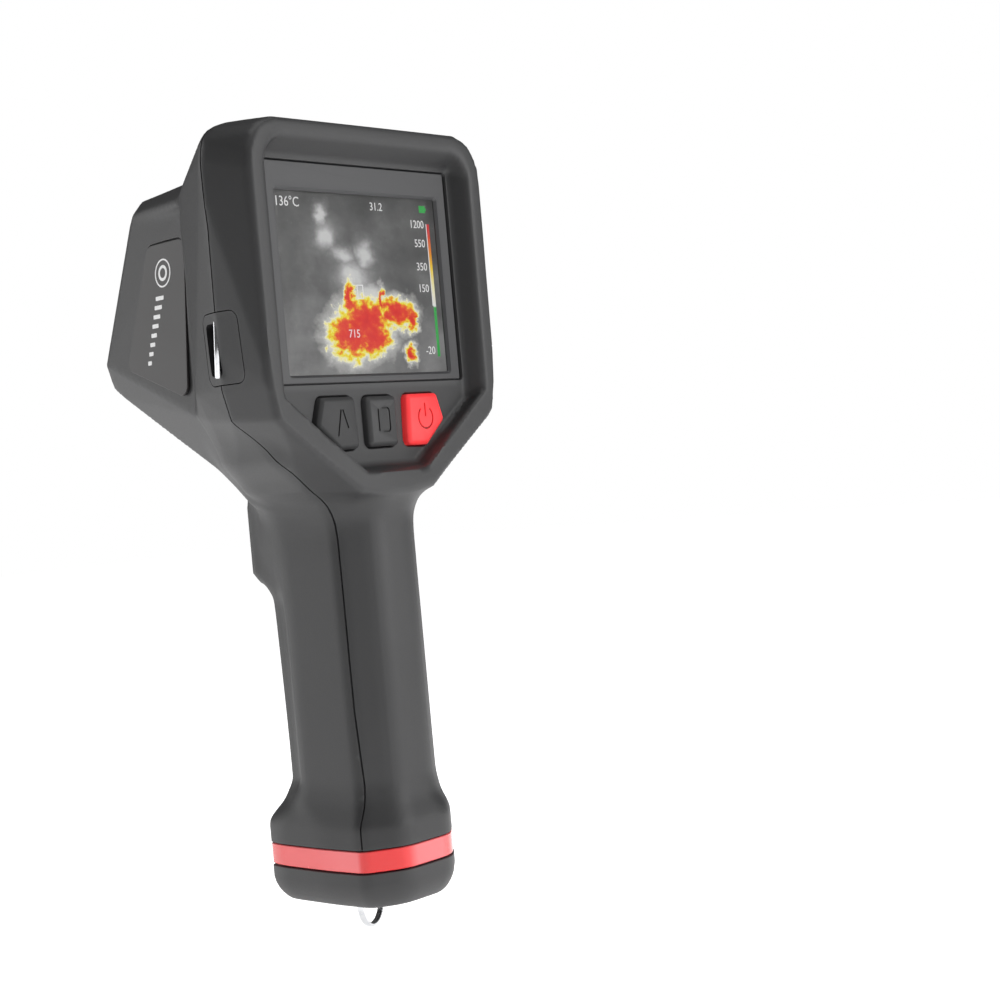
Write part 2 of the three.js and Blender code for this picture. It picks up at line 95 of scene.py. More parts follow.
def aim_camera(view):
    side, height, lean = (math.radians(view[k]) for k in ("side", "height", "lean"))
    back = Vector((math.sin(side) * math.cos(height), -math.cos(side) * math.cos(height),
                   math.sin(height)))
    right = (-back).cross(Vector((0, 0, 1))).normalized()
    up = right.cross(-back)
    leaning_right = math.cos(lean) * right + math.sin(lean) * up
    leaning_up = -math.sin(lean) * right + math.cos(lean) * up
    axes = Matrix((leaning_right, leaning_up, back)).transposed()
    x, y, z = view["shift"]
    place = -(axes @ Vector((x, -y, -z)))
    data = bpy.data.cameras.new("camera")
    data.lens, data.sensor_width = LENS_MM, SENSOR_MM
    data.clip_start = 0.01
    camera = bpy.data.objects.new("camera", data)
    scene.collection.objects.link(camera)
    matrix = axes.to_4x4()
    matrix.translation = TO_ROW @ place
    camera.matrix_world = matrix
    scene.camera = camera
    return camera


camera = aim_camera(VIEW)
print("camera at", [round(c, 3) for c in camera.matrix_world.translation])

# %% [markdown]
# Every finish is a small node tree. One function turns the hex values of a paint chart into
# the linear numbers that shading uses, and one function adds a node with its settings and
# its links. Nothing else is needed to read the trees below.

# %% Colour and node helpers
def linear(hex_colour):
    """#rrggbb as printed on a chart, turned to linear RGBA."""
    parts = [int(hex_colour[i:i + 2], 16) / 255 for i in (1, 3, 5)]
    return [p / 12.92 if p <= 0.04045 else ((p + 0.055) / 1.055) ** 2.4 for p in parts] + [1.0]


def node(material, kind, settings=None, **inputs):
    """Adds one node. A value that is a socket is linked, any other value is set."""
    made = material.node_tree.nodes.new(kind)
    for key, value in (settings or {}).items():
        setattr(made, key, value)
    for key, value in inputs.items():
        name = int(key[1:]) if key[0] == "i" and key[1:].isdigit() else key.replace("_", " ")
        if isinstance(value, bpy.types.NodeSocket):
            material.node_tree.links.new(value, made.inputs[name])
        else:
            made.inputs[name].default_value = value
    return made


def finish(name):
    """An empty material with a Principled shader wired to the output."""
    material = bpy.data.materials.new(name)
    material.use_nodes = True
    material.node_tree.nodes.clear()
    shader = node(material, "ShaderNodeBsdfPrincipled")
    node(material, "ShaderNodeOutputMaterial", Surface=shader.outputs["BSDF"])
    return material, shader.inputs


def place_on(material):
    """Object coordinates, which are metres in the row frame on every piece."""
    return node(material, "ShaderNodeTexCoord").outputs["Object"]


def ramp(material, factor, stops):
    """A colour ramp: stops are (position, hex)."""
    made = node(material, "ShaderNodeValToRGB", Fac=factor)
    elements = made.color_ramp.elements
    elements[0].position, elements[0].color = stops[0][0], linear(stops[0][1])
    elements[1].position, elements[1].color = stops[-1][0], linear(stops[-1][1])
    for position, colour in stops[1:-1]:
        elements.new(position).color = linear(colour)
    return made.outputs["Color"]


def grain(material, size_mm, detail=2.0):
    """Noise whose lumps are size_mm wide."""
    return node(material, "ShaderNodeTexNoise", Vector=place_on(material),
                Scale=1 / (size_mm * MM), Detail=detail, Roughness=0.6).outputs["Fac"]


def relief(material, height, depth_mm):
    """A bump whose full height is depth_mm."""
    return node(material, "ShaderNodeBump", Height=height,
                Distance=depth_mm * MM).outputs["Normal"]


def feed(material, shader, **outputs):
    """Links node outputs to the shader's sockets, named with _ for a space."""
    for socket, output in outputs.items():
        material.node_tree.links.new(output, shader[socket.replace("_", " ")])


def uneven(material, pattern, middle, spread):
    """The pattern turned to values that stay within spread of the middle."""
    return node(material, "ShaderNodeMapRange", Value=pattern, To_Min=middle - spread,
                To_Max=middle + spread).outputs[0]


def painted(name, dark, light, grain_mm, detail=2.0, stops=(0.3, 0.7), into="Base Color", **values):
    """A finish whose colour drifts between two shades; other sockets get the values given."""
    material, shader = finish(name)
    shade = ramp(material, grain(material, grain_mm, detail), [(stops[0], dark), (stops[1], light)])
    material.node_tree.links.new(shade, shader[into])
    for socket, value in values.items():
        shader[socket.replace("_", " ")].default_value = (
            linear(value) if isinstance(value, str) else value)
    return material, shader


print("white paint is", [round(c, 3) for c in linear("#f2f2f0")])

# %% [markdown]
# The shells are ABS, injection moulded in a tool whose walls were spark-eroded, which gives
# a fine matt grain. Real grain is about 0.1 mm; it is drawn 0.45 mm wide so that it shows.
# A slow change of shade and roughness stops the large flats from looking like paper, and
# the convex edges are painted a touch lighter, a painted highlight on the soft edges.

# %% Moulded plastics
def moulded_plastic(name, dark, light, grain_mm, roughness, depth_mm=0.02, edge="#4a4a4b"):
    material, shader = finish(name)
    fine = grain(material, grain_mm)
    broad = grain(material, 45, 1.0)
    shade = ramp(material, broad, [(0.3, dark), (0.7, light)])
    # Painted highlight: convex edges (high Pointiness) are mixed towards the lighter edge colour,
    # for the light that soft edges catch.
    painted_edge_highlight = ramp(material, node(material, "ShaderNodeNewGeometry").outputs["Pointiness"],
                [(0.5, "#000000"), (0.62, "#ffffff")])
    mixed = node(material, "ShaderNodeMix", {"data_type": "RGBA"}, i0=node(
        material, "ShaderNodeMath", {"operation": "MULTIPLY"}, i0=painted_edge_highlight, i1=0.35).outputs[0],
        i6=shade, i7=linear(edge))
    feed(material, shader, Base_Color=mixed.outputs[2],
         Roughness=uneven(material, fine, roughness, 0.07), Normal=relief(material, fine, depth_mm))
    shader["IOR"].default_value = 1.53
    return material


abs_charcoal = moulded_plastic("abs_moulded_charcoal", "#252526", "#2a2a2b", 0.45, 0.52)
abs_insert = moulded_plastic("abs_moulded_insert", "#323234", "#373739", 0.45, 0.5)
abs_black = moulded_plastic("abs_moulded_black", "#141415", "#1b1b1c", 0.5, 0.4)
key_rubber = moulded_plastic("silicone_key_grey", "#232324", "#282829", 0.35, 0.62)
print("plastics:", len(bpy.data.materials), "materials in all")

# %% [markdown]
# Most pieces are flat shapes with a rounded outline and soft edges. A stack of copies of one
# outline, each pulled in by its own margin at its own height, gives such a body with its
# chamfers already on it. It keeps the face count low, and no Bevel modifier has to guess.

# %% Outlines and stacked plates
def with_neighbours(points):
    """Every point with the one before and the one after it."""
    corners = [Vector(point) for point in points]
    return zip(corners[-1:] + corners[:-1], corners, corners[1:] + corners[:1])


def offset(points, margin):
    """A counter-clockwise outline moved outwards by margin, mitred at its corners."""
    moved = []
    for before, here, after in with_neighbours(points):
        a, b = (here - before).normalized(), (after - here).normalized()
        normal_a, normal_b = Vector((a.y, -a.x)), Vector((b.y, -b.x))
        mitre = (normal_a + normal_b) / max(1 + normal_a.dot(normal_b), 0.2)
        moved.append(tuple(here + mitre * margin))
    return moved


def rounded(points, radii, steps=5):
    """The outline with an arc at each corner."""
    radii = [radii] * len(points) if isinstance(radii, (int, float)) else radii
    result = []
    for i, (before, here, after) in enumerate(with_neighbours(points)):
        a, b = (before - here), (after - here)
        half = a.angle(b) / 2
        reach = min(max(radii[i], 0.02) / math.tan(half), 0.48 * a.length, 0.48 * b.length)
        radius = reach * math.tan(half)
        start, end = here + a.normalized() * reach, here + b.normalized() * reach
        centre = here + (a.normalized() + b.normalized()).normalized() * (radius / math.sin(half))
        turn = (start - centre).angle_signed(end - centre)
        for k in range(steps + 1):
            angle = -turn * k / steps
            spoke = start - centre
            result.append((centre.x + spoke.x * math.cos(angle) - spoke.y * math.sin(angle),
                           centre.y + spoke.x * math.sin(angle) + spoke.y * math.cos(angle)))
    return result


def box_outline(half_u, half_v, centre=(0, 0)):
    u, v = centre
    return [(u - half_u, v - half_v), (u + half_u, v - half_v), (u + half_u, v + half_v),
            (u - half_u, v + half_v)]


def ring_outline(radius, count=40):
    return [(radius * math.cos(2 * math.pi * k / count), radius * math.sin(2 * math.pi * k / count))
            for k in range(count)]


def ordered(points):
    """The outline turned counter-clockwise."""
    area = sum(points[i - 1][0] * p[1] - p[0] * points[i - 1][1] for i, p in enumerate(points))
    return points if area > 0 else points[::-1]


def skin(loops, closed=False):
    """A body through loops of 3-D points, capped at both ends, or closed into a ring."""
    bm = bmesh.new()
    rows = [[bm.verts.new(p) for p in loop] for loop in loops]
    pairs = list(zip(rows, rows[1:] + rows[:1])) if closed else list(zip(rows, rows[1:]))
    for low, high in pairs:
        for i in range(len(low)):
            bm.faces.new((low[i - 1], low[i], high[i], high[i - 1]))
    if not closed:
        bm.faces.new(rows[0][::-1])
        bm.faces.new(rows[-1])
    bmesh.ops.recalc_face_normals(bm, faces=bm.faces)
    return bm


def plate(points, radius, levels, place):
    """Levels are (margin, height) from the bottom up: margin grows the outline."""
    points = ordered(points)
    corner = radius if isinstance(radius, (list, tuple)) else [radius] * len(points)
    loops = []
    for margin, height in levels:
        drawn = rounded(offset(points, margin), [max(r + margin, 0.05) for r in corner])
        loops.append([place @ Vector((u, v, height)) for u, v in drawn])
    return skin(loops)


def turned(profile, place, count=48, closed=False):
    """A lathe body about the third axis of place; profile is (radius, height)."""
    loops = [[place @ Vector((u, v, height)) for u, v in ring_outline(max(radius, 0.001), count)]
             for radius, height in profile]
    return skin(loops, closed)


print("a rounded square has", len(rounded(box_outline(5, 5), 1)), "points")

# %% [markdown]
# A finished piece is one object at the origin whose place is in its mesh, as a node's is.
# Boolean joins and cuts run on scratch objects with the Manifold solver, which is fast and
# exact on closed bodies; the scratch objects are then removed.

# %% Objects and Boolean cuts
def scratch(bm, name="scratch"):
    mesh = bpy.data.meshes.new(name)
    bm.to_mesh(mesh)
    bm.free()
    made = bpy.data.objects.new(name, mesh)
    scene.collection.objects.link(made)
    return made


def evaluated(obj):
    """The object's mesh with its modifiers applied, as a new plain mesh."""
    view = bpy.context.evaluated_depsgraph_get()
    return bpy.data.meshes.new_from_object(obj.evaluated_get(view))


def combine(obj, tools, operation):
    """Applies each tool body (a bmesh) to obj with a Boolean."""
    for bm in tools:
        tool = scratch(bm, "tool")
        step = obj.modifiers.new("cut", "BOOLEAN")
        step.operation, step.solver, step.object = operation, "MANIFOLD", tool
        mesh = evaluated(obj)
        if not mesh.polygons:
            raise ValueError(f"Boolean emptied {obj.name}")
        obj.modifiers.clear()
        old, obj.data = obj.data, mesh
        bpy.data.meshes.remove(old)
        bpy.data.objects.remove(tool)
    return obj


def cut(obj, *tools):
    return combine(obj, tools, "DIFFERENCE")


def keep_inside(obj, *tools):
    return combine(obj, tools, "INTERSECT")


def copy_of(obj, name):
    made = bpy.data.objects.new(name, obj.data.copy())
    scene.collection.objects.link(made)
    return made


def piece(source, name, material, body="body", replaces=(), sharp=40):
    """Finishes a bmesh or scratch object as a piece of the camera."""
    made = scratch(source, name) if isinstance(source, bmesh.types.BMesh) else source
    made.name = name
    made.data.transform(TO_ROW)
    for polygon in made.data.polygons:
        polygon.use_smooth = True
    made.data.set_sharp_from_angle(angle=math.radians(sharp))
    made.data.materials.clear()
    made.data.materials.append(material)
    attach(made, body)
    if replaces:
        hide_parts(*replaces)
    print(f"{name}: {len(made.data.polygons)} faces")
    return made


print("piece and Boolean helpers ready")

# %% [markdown]
# The shells are the hard part: flat facets that meet in soft edges, flow into the grip in
# wide curves, and carry a deep well. Bevels on such a mesh fail where many edges meet. A
# distance field does it without trouble: each convex form is the largest of its planes'
# distances, forms are blended with a smooth minimum, and the surface is where the field is
# zero. Half of the symmetric camera is computed, then mirrored.

# %% The field's grid
STEP = 1.0
LOW = np.array([-60.0, -12.0, -142.0])
COUNT = (121, 110, 222)
half_x = np.arange(0, COUNT[0] // 2 + 1) * STEP
grid_y = LOW[1] + np.arange(COUNT[1]) * STEP
grid_z = LOW[2] + np.arange(COUNT[2]) * STEP
X, Y, Z = (a.astype(np.float32) for a in np.meshgrid(half_x, grid_y, grid_z, indexing="ij"))
print("grid of", X.size, "samples")


def union(a, b, soft):
    gap = np.clip(soft - np.abs(a - b), 0, None) / soft
    return np.minimum(a, b) - gap * gap * soft * 0.25


def overlap(a, b, soft):
    return -union(-a, -b, soft)


def fade(value, start, end):
    t = np.clip((value - start) / (end - start), 0, 1)
    return t * t * (3 - 2 * t)


def hull_planes(points, mirror=True):
    """Distinct outward planes of the points' convex hull, as (normal, distance)."""
    bm = bmesh.new()
    for x, y, z in points:
        bm.verts.new((x, y, z))
        if mirror and x:
            bm.verts.new((-x, y, z))
    bmesh.ops.convex_hull(bm, input=bm.verts)
    centre = sum((v.co for v in bm.verts), Vector()) / len(bm.verts)
    planes = []
    for face in bm.faces:
        normal, spot = face.normal, face.calc_center_median()
        if face.calc_area() < 0.5:
            continue
        if normal.dot(spot - centre) < 0:
            normal = -normal
        distance = normal.dot(spot)
        if normal.x > -1e-4 and all(normal.dot(n) < 0.9996 or abs(distance - d) > 0.4
                                    for n, d in planes):
            planes.append((normal.copy(), distance))
    bm.free()
    return planes


def convex(points, radius, keep=lambda normal: True):
    """Field of a convex form whose edges are rounded to about one radius, however blunt they
    are: the softness of each join comes from the angle between the two planes that meet."""
    field, facing = None, None
    for normal, distance in hull_planes(points):
        if not keep(normal):
            continue
        plane = X * normal.x + Y * normal.y + Z * normal.z - distance
        if field is None:
            field, facing = plane, np.stack([np.full_like(X, c) for c in normal])
            continue
        along = np.clip(sum(facing[i] * normal[i] for i in range(3)), 0.2, 1)
        soft = np.maximum(4 * radius * (np.sqrt(2 / (1 + along)) - 1), 0.02)
        ahead = plane > field
        field = overlap(field, plane, soft)
        for i in range(3):
            facing[i][ahead] = normal[i]
    return field


# %% [markdown]
# The head is one convex form with a sloping roof; the nose is a second, narrower wedge that
# grows out of it. The roof's side edges are far rounder than the rest, so the softness is a
# field too. A low brow overhangs the label panels where the shoulders run into the nose.

# %% Head and nose
HEAD = [
    (40, -6.5, 74.1), (45, -6.4, 72.5), (48.6, -6.3, 69), (50.8, -6.1, 64), (51.4, -6, 59),
    (50.7, -6, 0), (48.3, -6, -10.5), (16, -6, -32), (38, 8, 75.5), (45.5, 9, 74.2),
    (50.5, 9.6, 72.6), (53.2, 10, 69), (54.2, 10, 63.5), (54.2, 9.4, 52), (51.4, 12.2, 10),
    (50.2, 13.3, 0), (48.3, 12.4, -9), (27, 7, -29), (16, 7, -33), (25, 31, 65), (34, 31, 62.3),
    (42, 31, 58.5), (43, 31, 0), (41.5, 28, -8), (31, 37, 61.5), (36.6, 37.5, 58), (36.6, 37.5, -6),
    (22, 34, -28)]
WEDGE = [
    (31, 14, 62.5), (33.5, 14, 59), (36.4, 14, -6), (17, 14, -31),
    (31, 37, 62.5), (33.5, 37, 59), (36.4, 37.5, -6), (17, 37, -31),
    (21, 69.4, 61.7), (24.8, 70, 57.5), (24.7, 87.6, 13.7), (18.5, 88, 3.5),
    (18.2, 75.3, 58.6), (19.5, 77, 56), (19.5, 92.8, 14.5), (17.9, 92.5, 6.7)]
BROW = [
    (20, 26, 63.2), (31.5, 26, 63), (37.4, 26, 57), (31, 40, 62.6), (36.8, 38.5, 56.6),
    (21, 69, 61.9), (25.1, 69.6, 57.3), (24, 40, 50), (20, 68, 52)]
round_roof = 1.3 + 5.5 * fade(Z, 48, 64) * fade(Y, -3, 24)
head = convex(HEAD, round_roof)
wedge = convex(WEDGE, 0.8)
brow = convex(BROW, 1.4)
nose = union(wedge, brow, 1.5)
upper = union(head, nose, 3.5 - 2 * fade(Z, 60, 50))
print("head", head.shape, "planes", len(hull_planes(HEAD)), len(hull_planes(WEDGE)))

# %% [markdown]
# The grip is drawn as half outlines at eleven heights: a flat back, a chamfer to the seam, a
# side, a finger valley and a front rib. Between them the corners are interpolated, and the
# distance to the outline is taken level by level.

# %% Grip
GRIP = [
    (-12, [(13, -4.2), (36, 7), (32, 30), (22, 41), (10, 45)]),
    (-20, [(13, -4.2), (36, 7), (32, 30), (22, 41), (10, 45)]),
    (-28, [(9.5, -3.4), (26.5, 6), (24, 30), (16, 39.5), (9.4, 43.5)]),
    (-36, [(7.6, -2.6), (19.6, 5.3), (18, 30), (13.5, 38.5), (9, 41.5)]),
    (-46, [(7.2, -2.4), (17.9, 5), (15.8, 30.5), (12.8, 38), (9, 41.8)]),
    (-58, [(7.2, -2.4), (17.9, 5), (15.3, 30.5), (11.4, 35.5), (9, 41.6)]),
    (-70, [(7.2, -2.4), (17.9, 4.9), (15.1, 30.5), (10.8, 34.2), (8.9, 41.2)]),
    (-116, [(7.2, -2.4), (17.9, 4.6), (14.8, 30.5), (10.8, 34), (8.8, 40.4)]),
    (-122, [(7.8, -3), (18.4, 4), (16, 31), (12.6, 36.6), (9.9, 42.5)]),
    (-130, [(10, -5.3), (20.8, 3), (19.6, 20), (16.6, 39.5), (13.8, 46.8)]),
    (-142, [(10, -5.3), (20.8, 3), (19.6, 20), (16.6, 39.5), (13.8, 46.8)])]
CORNER_REACH = [4.6, 2.8, 4.2, 3.4, 2.4]


def eased(before, here, after, reach):
    """Points of a soft curve round the corner here."""
    before, here, after = Vector(before), Vector(here), Vector(after)
    start = here + (before - here).normalized() * min(reach, (before - here).length * 0.45)
    end = here + (after - here).normalized() * min(reach, (after - here).length * 0.45)
    return [tuple(start * (1 - s) ** 2 + here * 2 * s * (1 - s) + end * s * s)
            for s in (0, 0.25, 0.5, 0.75, 1)]


def grip_outline(z):
    """The half outline at one height, with a curve at each corner."""
    heights = np.array([level for level, _ in GRIP][::-1], float)
    drawn = np.array([points for _, points in GRIP][::-1], float)
    steps = np.diff(drawn, axis=0) / np.diff(heights)[:, None, None]
    product = steps[1:] * steps[:-1]
    slopes = np.zeros_like(drawn)
    slopes[1:-1] = np.where(product > 0, 2 * product / np.where(
        np.abs(steps[1:] + steps[:-1]) > 1e-9, steps[1:] + steps[:-1], 1), 0)
    i = int(np.clip(np.searchsorted(heights, z) - 1, 0, len(heights) - 2))
    span = heights[i + 1] - heights[i]
    t = np.clip((z - heights[i]) / span, 0, 1)
    corners = ((2 * t**3 - 3 * t**2 + 1) * drawn[i] + (t**3 - 2 * t**2 + t) * span * slopes[i]
               + (3 * t**2 - 2 * t**3) * drawn[i + 1] + (t**3 - t**2) * span * slopes[i + 1])
    (first_x, first_y), (last_x, last_y) = corners[0], corners[-1]
    chain = [(-first_x, first_y), *map(tuple, corners), (-last_x, last_y)]
    return np.array([p for k in range(1, len(chain) - 1)
                     for p in eased(*chain[k - 1:k + 2], CORNER_REACH[k - 1])])


def outline_distance(px, py, points):
    """Signed distance in the plane to a closed outline."""
    nearest = np.full(px.shape, 1e9, np.float32)
    inside = np.zeros(px.shape, bool)
    for (ax, ay), (bx, by) in zip(points, np.roll(points, -1, axis=0)):
        ex, ey = bx - ax, by - ay
        t = np.clip(((px - ax) * ex + (py - ay) * ey) / max(ex * ex + ey * ey, 1e-9), 0, 1)
        nearest = np.minimum(nearest, (px - ax - t * ex) ** 2 + (py - ay - t * ey) ** 2)
        crosses = (ay > py) != (by > py)
        if ey:
            inside ^= crosses & (px < ax + (py - ay) / ey * ex)
    return np.sqrt(nearest) * np.where(inside, -1, 1)


grip = np.empty_like(X)
for k, level in enumerate(grid_z):
    half = grip_outline(min(level, -12))
    whole = np.vstack([half, half[::-1] * (-1, 1)])
    grip[:, :, k] = outline_distance(X[:, :, k], Y[:, :, k], whole)
grip = np.maximum(grip, Z + 8)
print("grip width at the middle", round(float(2 * grip_outline(-80)[:, 0].max()), 1), "mm")

# %% [markdown]
# Blending joins the forms: nine millimetres of softness where the grip runs into the head,
# much less at the trigger's boss. The well is then pressed in with a soft lip, and the whole
# is hollowed to a wall of 2.2 mm by folding the field about that depth.

# %% Blending, well and wall
WALL = 2.2
WELL_MOUTH = [(36.5, 70), (41, 68.4), (44, 65.2), (45.5, 60.8), (45.3, -3), (13, -26.5)]
WELL_FLOOR = [(41.8, 64.4), (41.8, -6.7), (15, -24.8)]
BOSS = [(30, -16), (44, -16), (48.4, -34), (48.4, -54.5), (45.5, -57.5), (38, -60), (30, -60)]
blended = union(upper, grip, 9.0)
boss_profile = outline_distance(Y, Z, np.array(BOSS, float))
boss = overlap(boss_profile, np.abs(X) - 11.2, 5.0)
blended = union(blended, boss, 4.0)
well = convex([(x, -7, z) for x, z in WELL_MOUTH] + [(x, 0, z) for x, z in WELL_FLOOR], 1.2,
              keep=lambda normal: normal.y > -0.9)
solid = overlap(blended, -well, 1.0)
shell = np.abs(solid + WALL / 2) - WALL / 2


def surface(field):
    """The zero surface of a half field, mirrored, as a scratch object."""
    whole = np.concatenate([field[:0:-1], field], axis=0).astype(np.float32)
    grid = openvdb.FloatGrid(background=10.0)
    grid.copyFromArray(np.ascontiguousarray(np.clip(whole, -10, 10)), tolerance=0.0)
    points, triangles, quads = grid.convertToPolygons(isovalue=0.0, adaptivity=0.0)
    corner = np.array([-(field.shape[0] - 1) * STEP, LOW[1], LOW[2]])
    points = points * STEP + corner
    mesh = bpy.data.meshes.new("field")
    mesh.from_pydata(points.tolist(), [], triangles.tolist() + quads.tolist())
    made = bpy.data.objects.new("field", mesh)
    scene.collection.objects.link(made)
    bm = bmesh.new()
    bm.from_mesh(mesh)
    bmesh.ops.remove_doubles(bm, verts=bm.verts, dist=1e-5)
    if bm.calc_volume(signed=True) < 0:
        bmesh.ops.reverse_faces(bm, faces=bm.faces)
    loose = sum(1 for e in bm.edges if not e.is_manifold)
    print("surface:", len(bm.faces), "faces,", loose, "open edges, volume",
          round(bm.calc_volume(signed=True) / 1000, 1), "ml")
    bm.to_mesh(mesh)
    bm.free()
    return made


casing = surface(shell)

# %% [markdown]
# The field gives soft forms but no crisp edges, so everything that must fit something else
# is cut afterwards with plain bodies: the plate's seat, the screen opening, the key holes,
# the seats on the nose. A cutter's mouth is drawn slightly wider than its depth, which
# leaves the small chamfer that a moulded edge has.

# %% Display and keypad openings
GAP = 0.3
PLATE = {"half": 40.0, "height": 63.2}
WINDOW_HALF, WINDOW_LOW, WINDOW_HIGH = 35.4, 2.4, 55.2
plate_outline = [(-PLATE["half"], 0), (PLATE["half"], 0), (PLATE["half"], PLATE["height"]),
                 (-PLATE["half"], PLATE["height"])]
window_outline = [(-WINDOW_HALF, WINDOW_LOW), (WINDOW_HALF, WINDOW_LOW),
                  (WINDOW_HALF, WINDOW_HIGH), (-WINDOW_HALF, WINDOW_HIGH)]
OUTER_KEY = [(11.6, -4.2), (25.8, -4.2), (28.6, -12.2), (19.8, -19.6), (10.8, -19.3)]
MIDDLE_KEY = [(-6.6, -4.4), (6.6, -4.4), (6.6, -19.2), (-6.6, -19.2)]
KEYS = {
    "key_menu": ordered([(-x, z) for x, z in OUTER_KEY]),
    "key_gallery": ordered(MIDDLE_KEY),
    "key_power": ordered(OUTER_KEY)}
MOUTH = [(0.0, -9), (0.0, -0.35), (0.35, 0.0), (0.35, 3)]

seat_levels = [(0.3, -1.9), (0.3, -0.25), (0.5, 0.0), (0.5, 2)]
screen_opening = box_outline(38.3, 29.8, (0, 31.6))
side_gap = [(u + math.copysign(0.75, u), v) for u, v in plate_outline]
rear_cutters = [plate(side_gap, 0.8, seat_levels, REAR),
                plate(screen_opening, 0.6, [(0, -9), (0, 2)], REAR)]
for outline in KEYS.values():
    rear_cutters.append(plate(outline, 1.9, [(GAP + m, h) for m, h in MOUTH], REAR))
casing = cut(casing, *rear_cutters)
print("casing after the display openings:", len(casing.data.polygons), "faces")

# %% [markdown]
# On each flank the strap's insert crosses the seam. A fine groove outlines it; the front
# half is an open slot in front of a bright bar, the rear half a closed panel flush with
# the shell. The slot is cut on both shells at once, and the insert fills the rear.

# %% Strap slots
STRAP_Z, STRAP_Y = (1.0, 21.6), (2.8, 20.2)
strap_outline = box_outline((STRAP_Y[1] - STRAP_Y[0]) / 2, (STRAP_Z[1] - STRAP_Z[0]) / 2,
                            (sum(STRAP_Y) / 2, sum(STRAP_Z) / 2))


def flank(points, side):
    """Drawn for the right flank as (y, z), seen from that side."""
    return ordered([(y * side, z) for y, z in points])


def flank_plate(side, points, radius, levels):
    return plate(flank(points, side), radius, levels, SIDE[side])


strap_skins = {}
for side in SIDE:
    skin_body = keep_inside(copy_of(casing, f"strap_skin_{side}"),
                            flank_plate(side, strap_outline, 3.0, [(-0.3, 44), (-0.3, 70)]))
    slot_opening = box_outline(3.3, 7.4, (14.9, 11.2))
    strap_skins[side] = cut(skin_body, flank_plate(side, slot_opening, 1.4, [(0, 40), (0, 70)]))
slots = [flank_plate(side, strap_outline, 3.2, [(0, 42.5), (0, 70)]) for side in SIDE]
casing = cut(casing, *slots)

# %% [markdown]
# The nose carries three fitted parts: the lens pad on its front, a film label on each side
# and the contact strip below. The pad's seat has sloping walls, and shallow facets on both
# sides of it leave a raised bar above and below, joined by four slanting corner steps.

# %% Nose openings
LABEL_MID, LABEL_NORMAL = (31.6, 55.4, 24.5), Vector((0.977, 0.198, 0.077)).normalized()
LABEL_OUTLINE = [(-15, 22.5), (5.5, 22.5), (18.5, -13.5), (-15, -25)]
PAD_HALF = (14.6, 15.6)


def label_place(side):
    normal = Vector((side * LABEL_NORMAL.x, LABEL_NORMAL.y, LABEL_NORMAL.z))
    up = (Vector((0, 0, 1)) - normal * normal.z).normalized()
    return basis(up.cross(normal), up, normal, (side * LABEL_MID[0], *LABEL_MID[1:]))


def label_outline(side):
    return ordered([(side * u, v) for u, v in LABEL_OUTLINE])


def hull_body(points, place=Matrix.Identity(4)):
    bm = bmesh.new()
    for p in points:
        bm.verts.new(place @ Vector(p))
    bmesh.ops.convex_hull(bm, input=bm.verts)
    bmesh.ops.recalc_face_normals(bm, faces=bm.faces)
    return bm


CHEEK_DEPTH = 1.75


def cheek(side):
    """The lowered facet beside the pad, between two slanting steps."""
    floor = [(15.2, 12.4), (30, 19.5), (30, -17.5), (15.2, -12.6)]
    steps = [(12.2, 12.9), (12.2, -13.1)]
    low = [(side * u, v, -CHEEK_DEPTH) for u, v in floor + [(12, 9.3), (12, -9.4)]]
    mouth = [(15.2, 15.4), (30, 23.2), (30, -21.2), (15.2, -15.6)] + steps
    high = [(side * u, v, 0.4) for u, v in mouth]
    return hull_body(low + high + [(x, y, 6) for x, y, _ in high], NOSE)


pad_outline = box_outline(*PAD_HALF)
nose_cutters = [
    cheek(1), cheek(-1),
    plate(pad_outline, 3.2, [(0.35, -1.2), (0.35, -0.9), (1.9, 0.6), (1.9, 5)], NOSE),
    turned([(9.2, -12), (9.2, 3)], NOSE)]
for side in SIDE:
    nose_cutters.append(plate(label_outline(side), 3.2, [(0.4, -0.8), (0.4, 5)], label_place(side)))
casing = cut(casing, *nose_cutters)
print("casing after the nose openings:", len(casing.data.polygons), "faces")

# %% [markdown]
# The strip for charging lies in the nose's underside with a black edge line behind it. The
# trigger comes out of its boss through a close hole. Both get their own crisp mouths.

# %% Contact strip, trigger and grip end
contact_outline = [(-14, -7), (14, -7), (14, 7), (-14, 7)]
lower_cutters = [
    plate(contact_outline, 1.2, [(0.3, -5), (0.3, 1.0)], UNDER),
    plate([(-7, -53.3), (7, -53.3), (7, -27.5), (-7, -27.5)], 2.2, [(0.35, 30), (0.35, 60)],
          basis((-1, 0, 0), (0, 0, 1), (0, 1, 0)))]
casing = cut(casing, *lower_cutters)
BAND_TOP, BAND_LOW = -135.6, -142.0
casing = cut(casing, hull_body([(x, y, z) for x in (-80, 80) for y in (-60, 140)
                                for z in (-200, BAND_TOP + GAP)]))
print("casing ends at z", round(min(v.co.z for v in casing.data.vertices), 2))

# %% [markdown]
# The card cover is cut out of the same surface with one outline, so it follows the roof
# exactly. The hole left in the shell is wider by a fine gap and goes right through, so the
# card socket of the frame shows below it when the cover is open.

# %% Card cover
cover_outline = [(-18, -11.9), (18, -11.9), (16.8, 11.5), (-16.8, 11.5)]
lip_outline = [(-9.2, -12.8), (9.2, -12.8), (10.2, -10.2), (-10.2, -10.2)]


def roof_groove(points, width):
    side = [plate(ordered([tuple(Vector(a) + s * Vector((-(Vector(b) - Vector(a)).normalized().y,
            (Vector(b) - Vector(a)).normalized().x)) * width / 2) for a, b, s in
            ((p, q, 1), (q, p, -1), (q, p, 1), (p, q, -1))]), 0.02, [(0, -0.45), (0, 6)], ROOF)
            for p, q in zip(points, points[1:])]
    return side


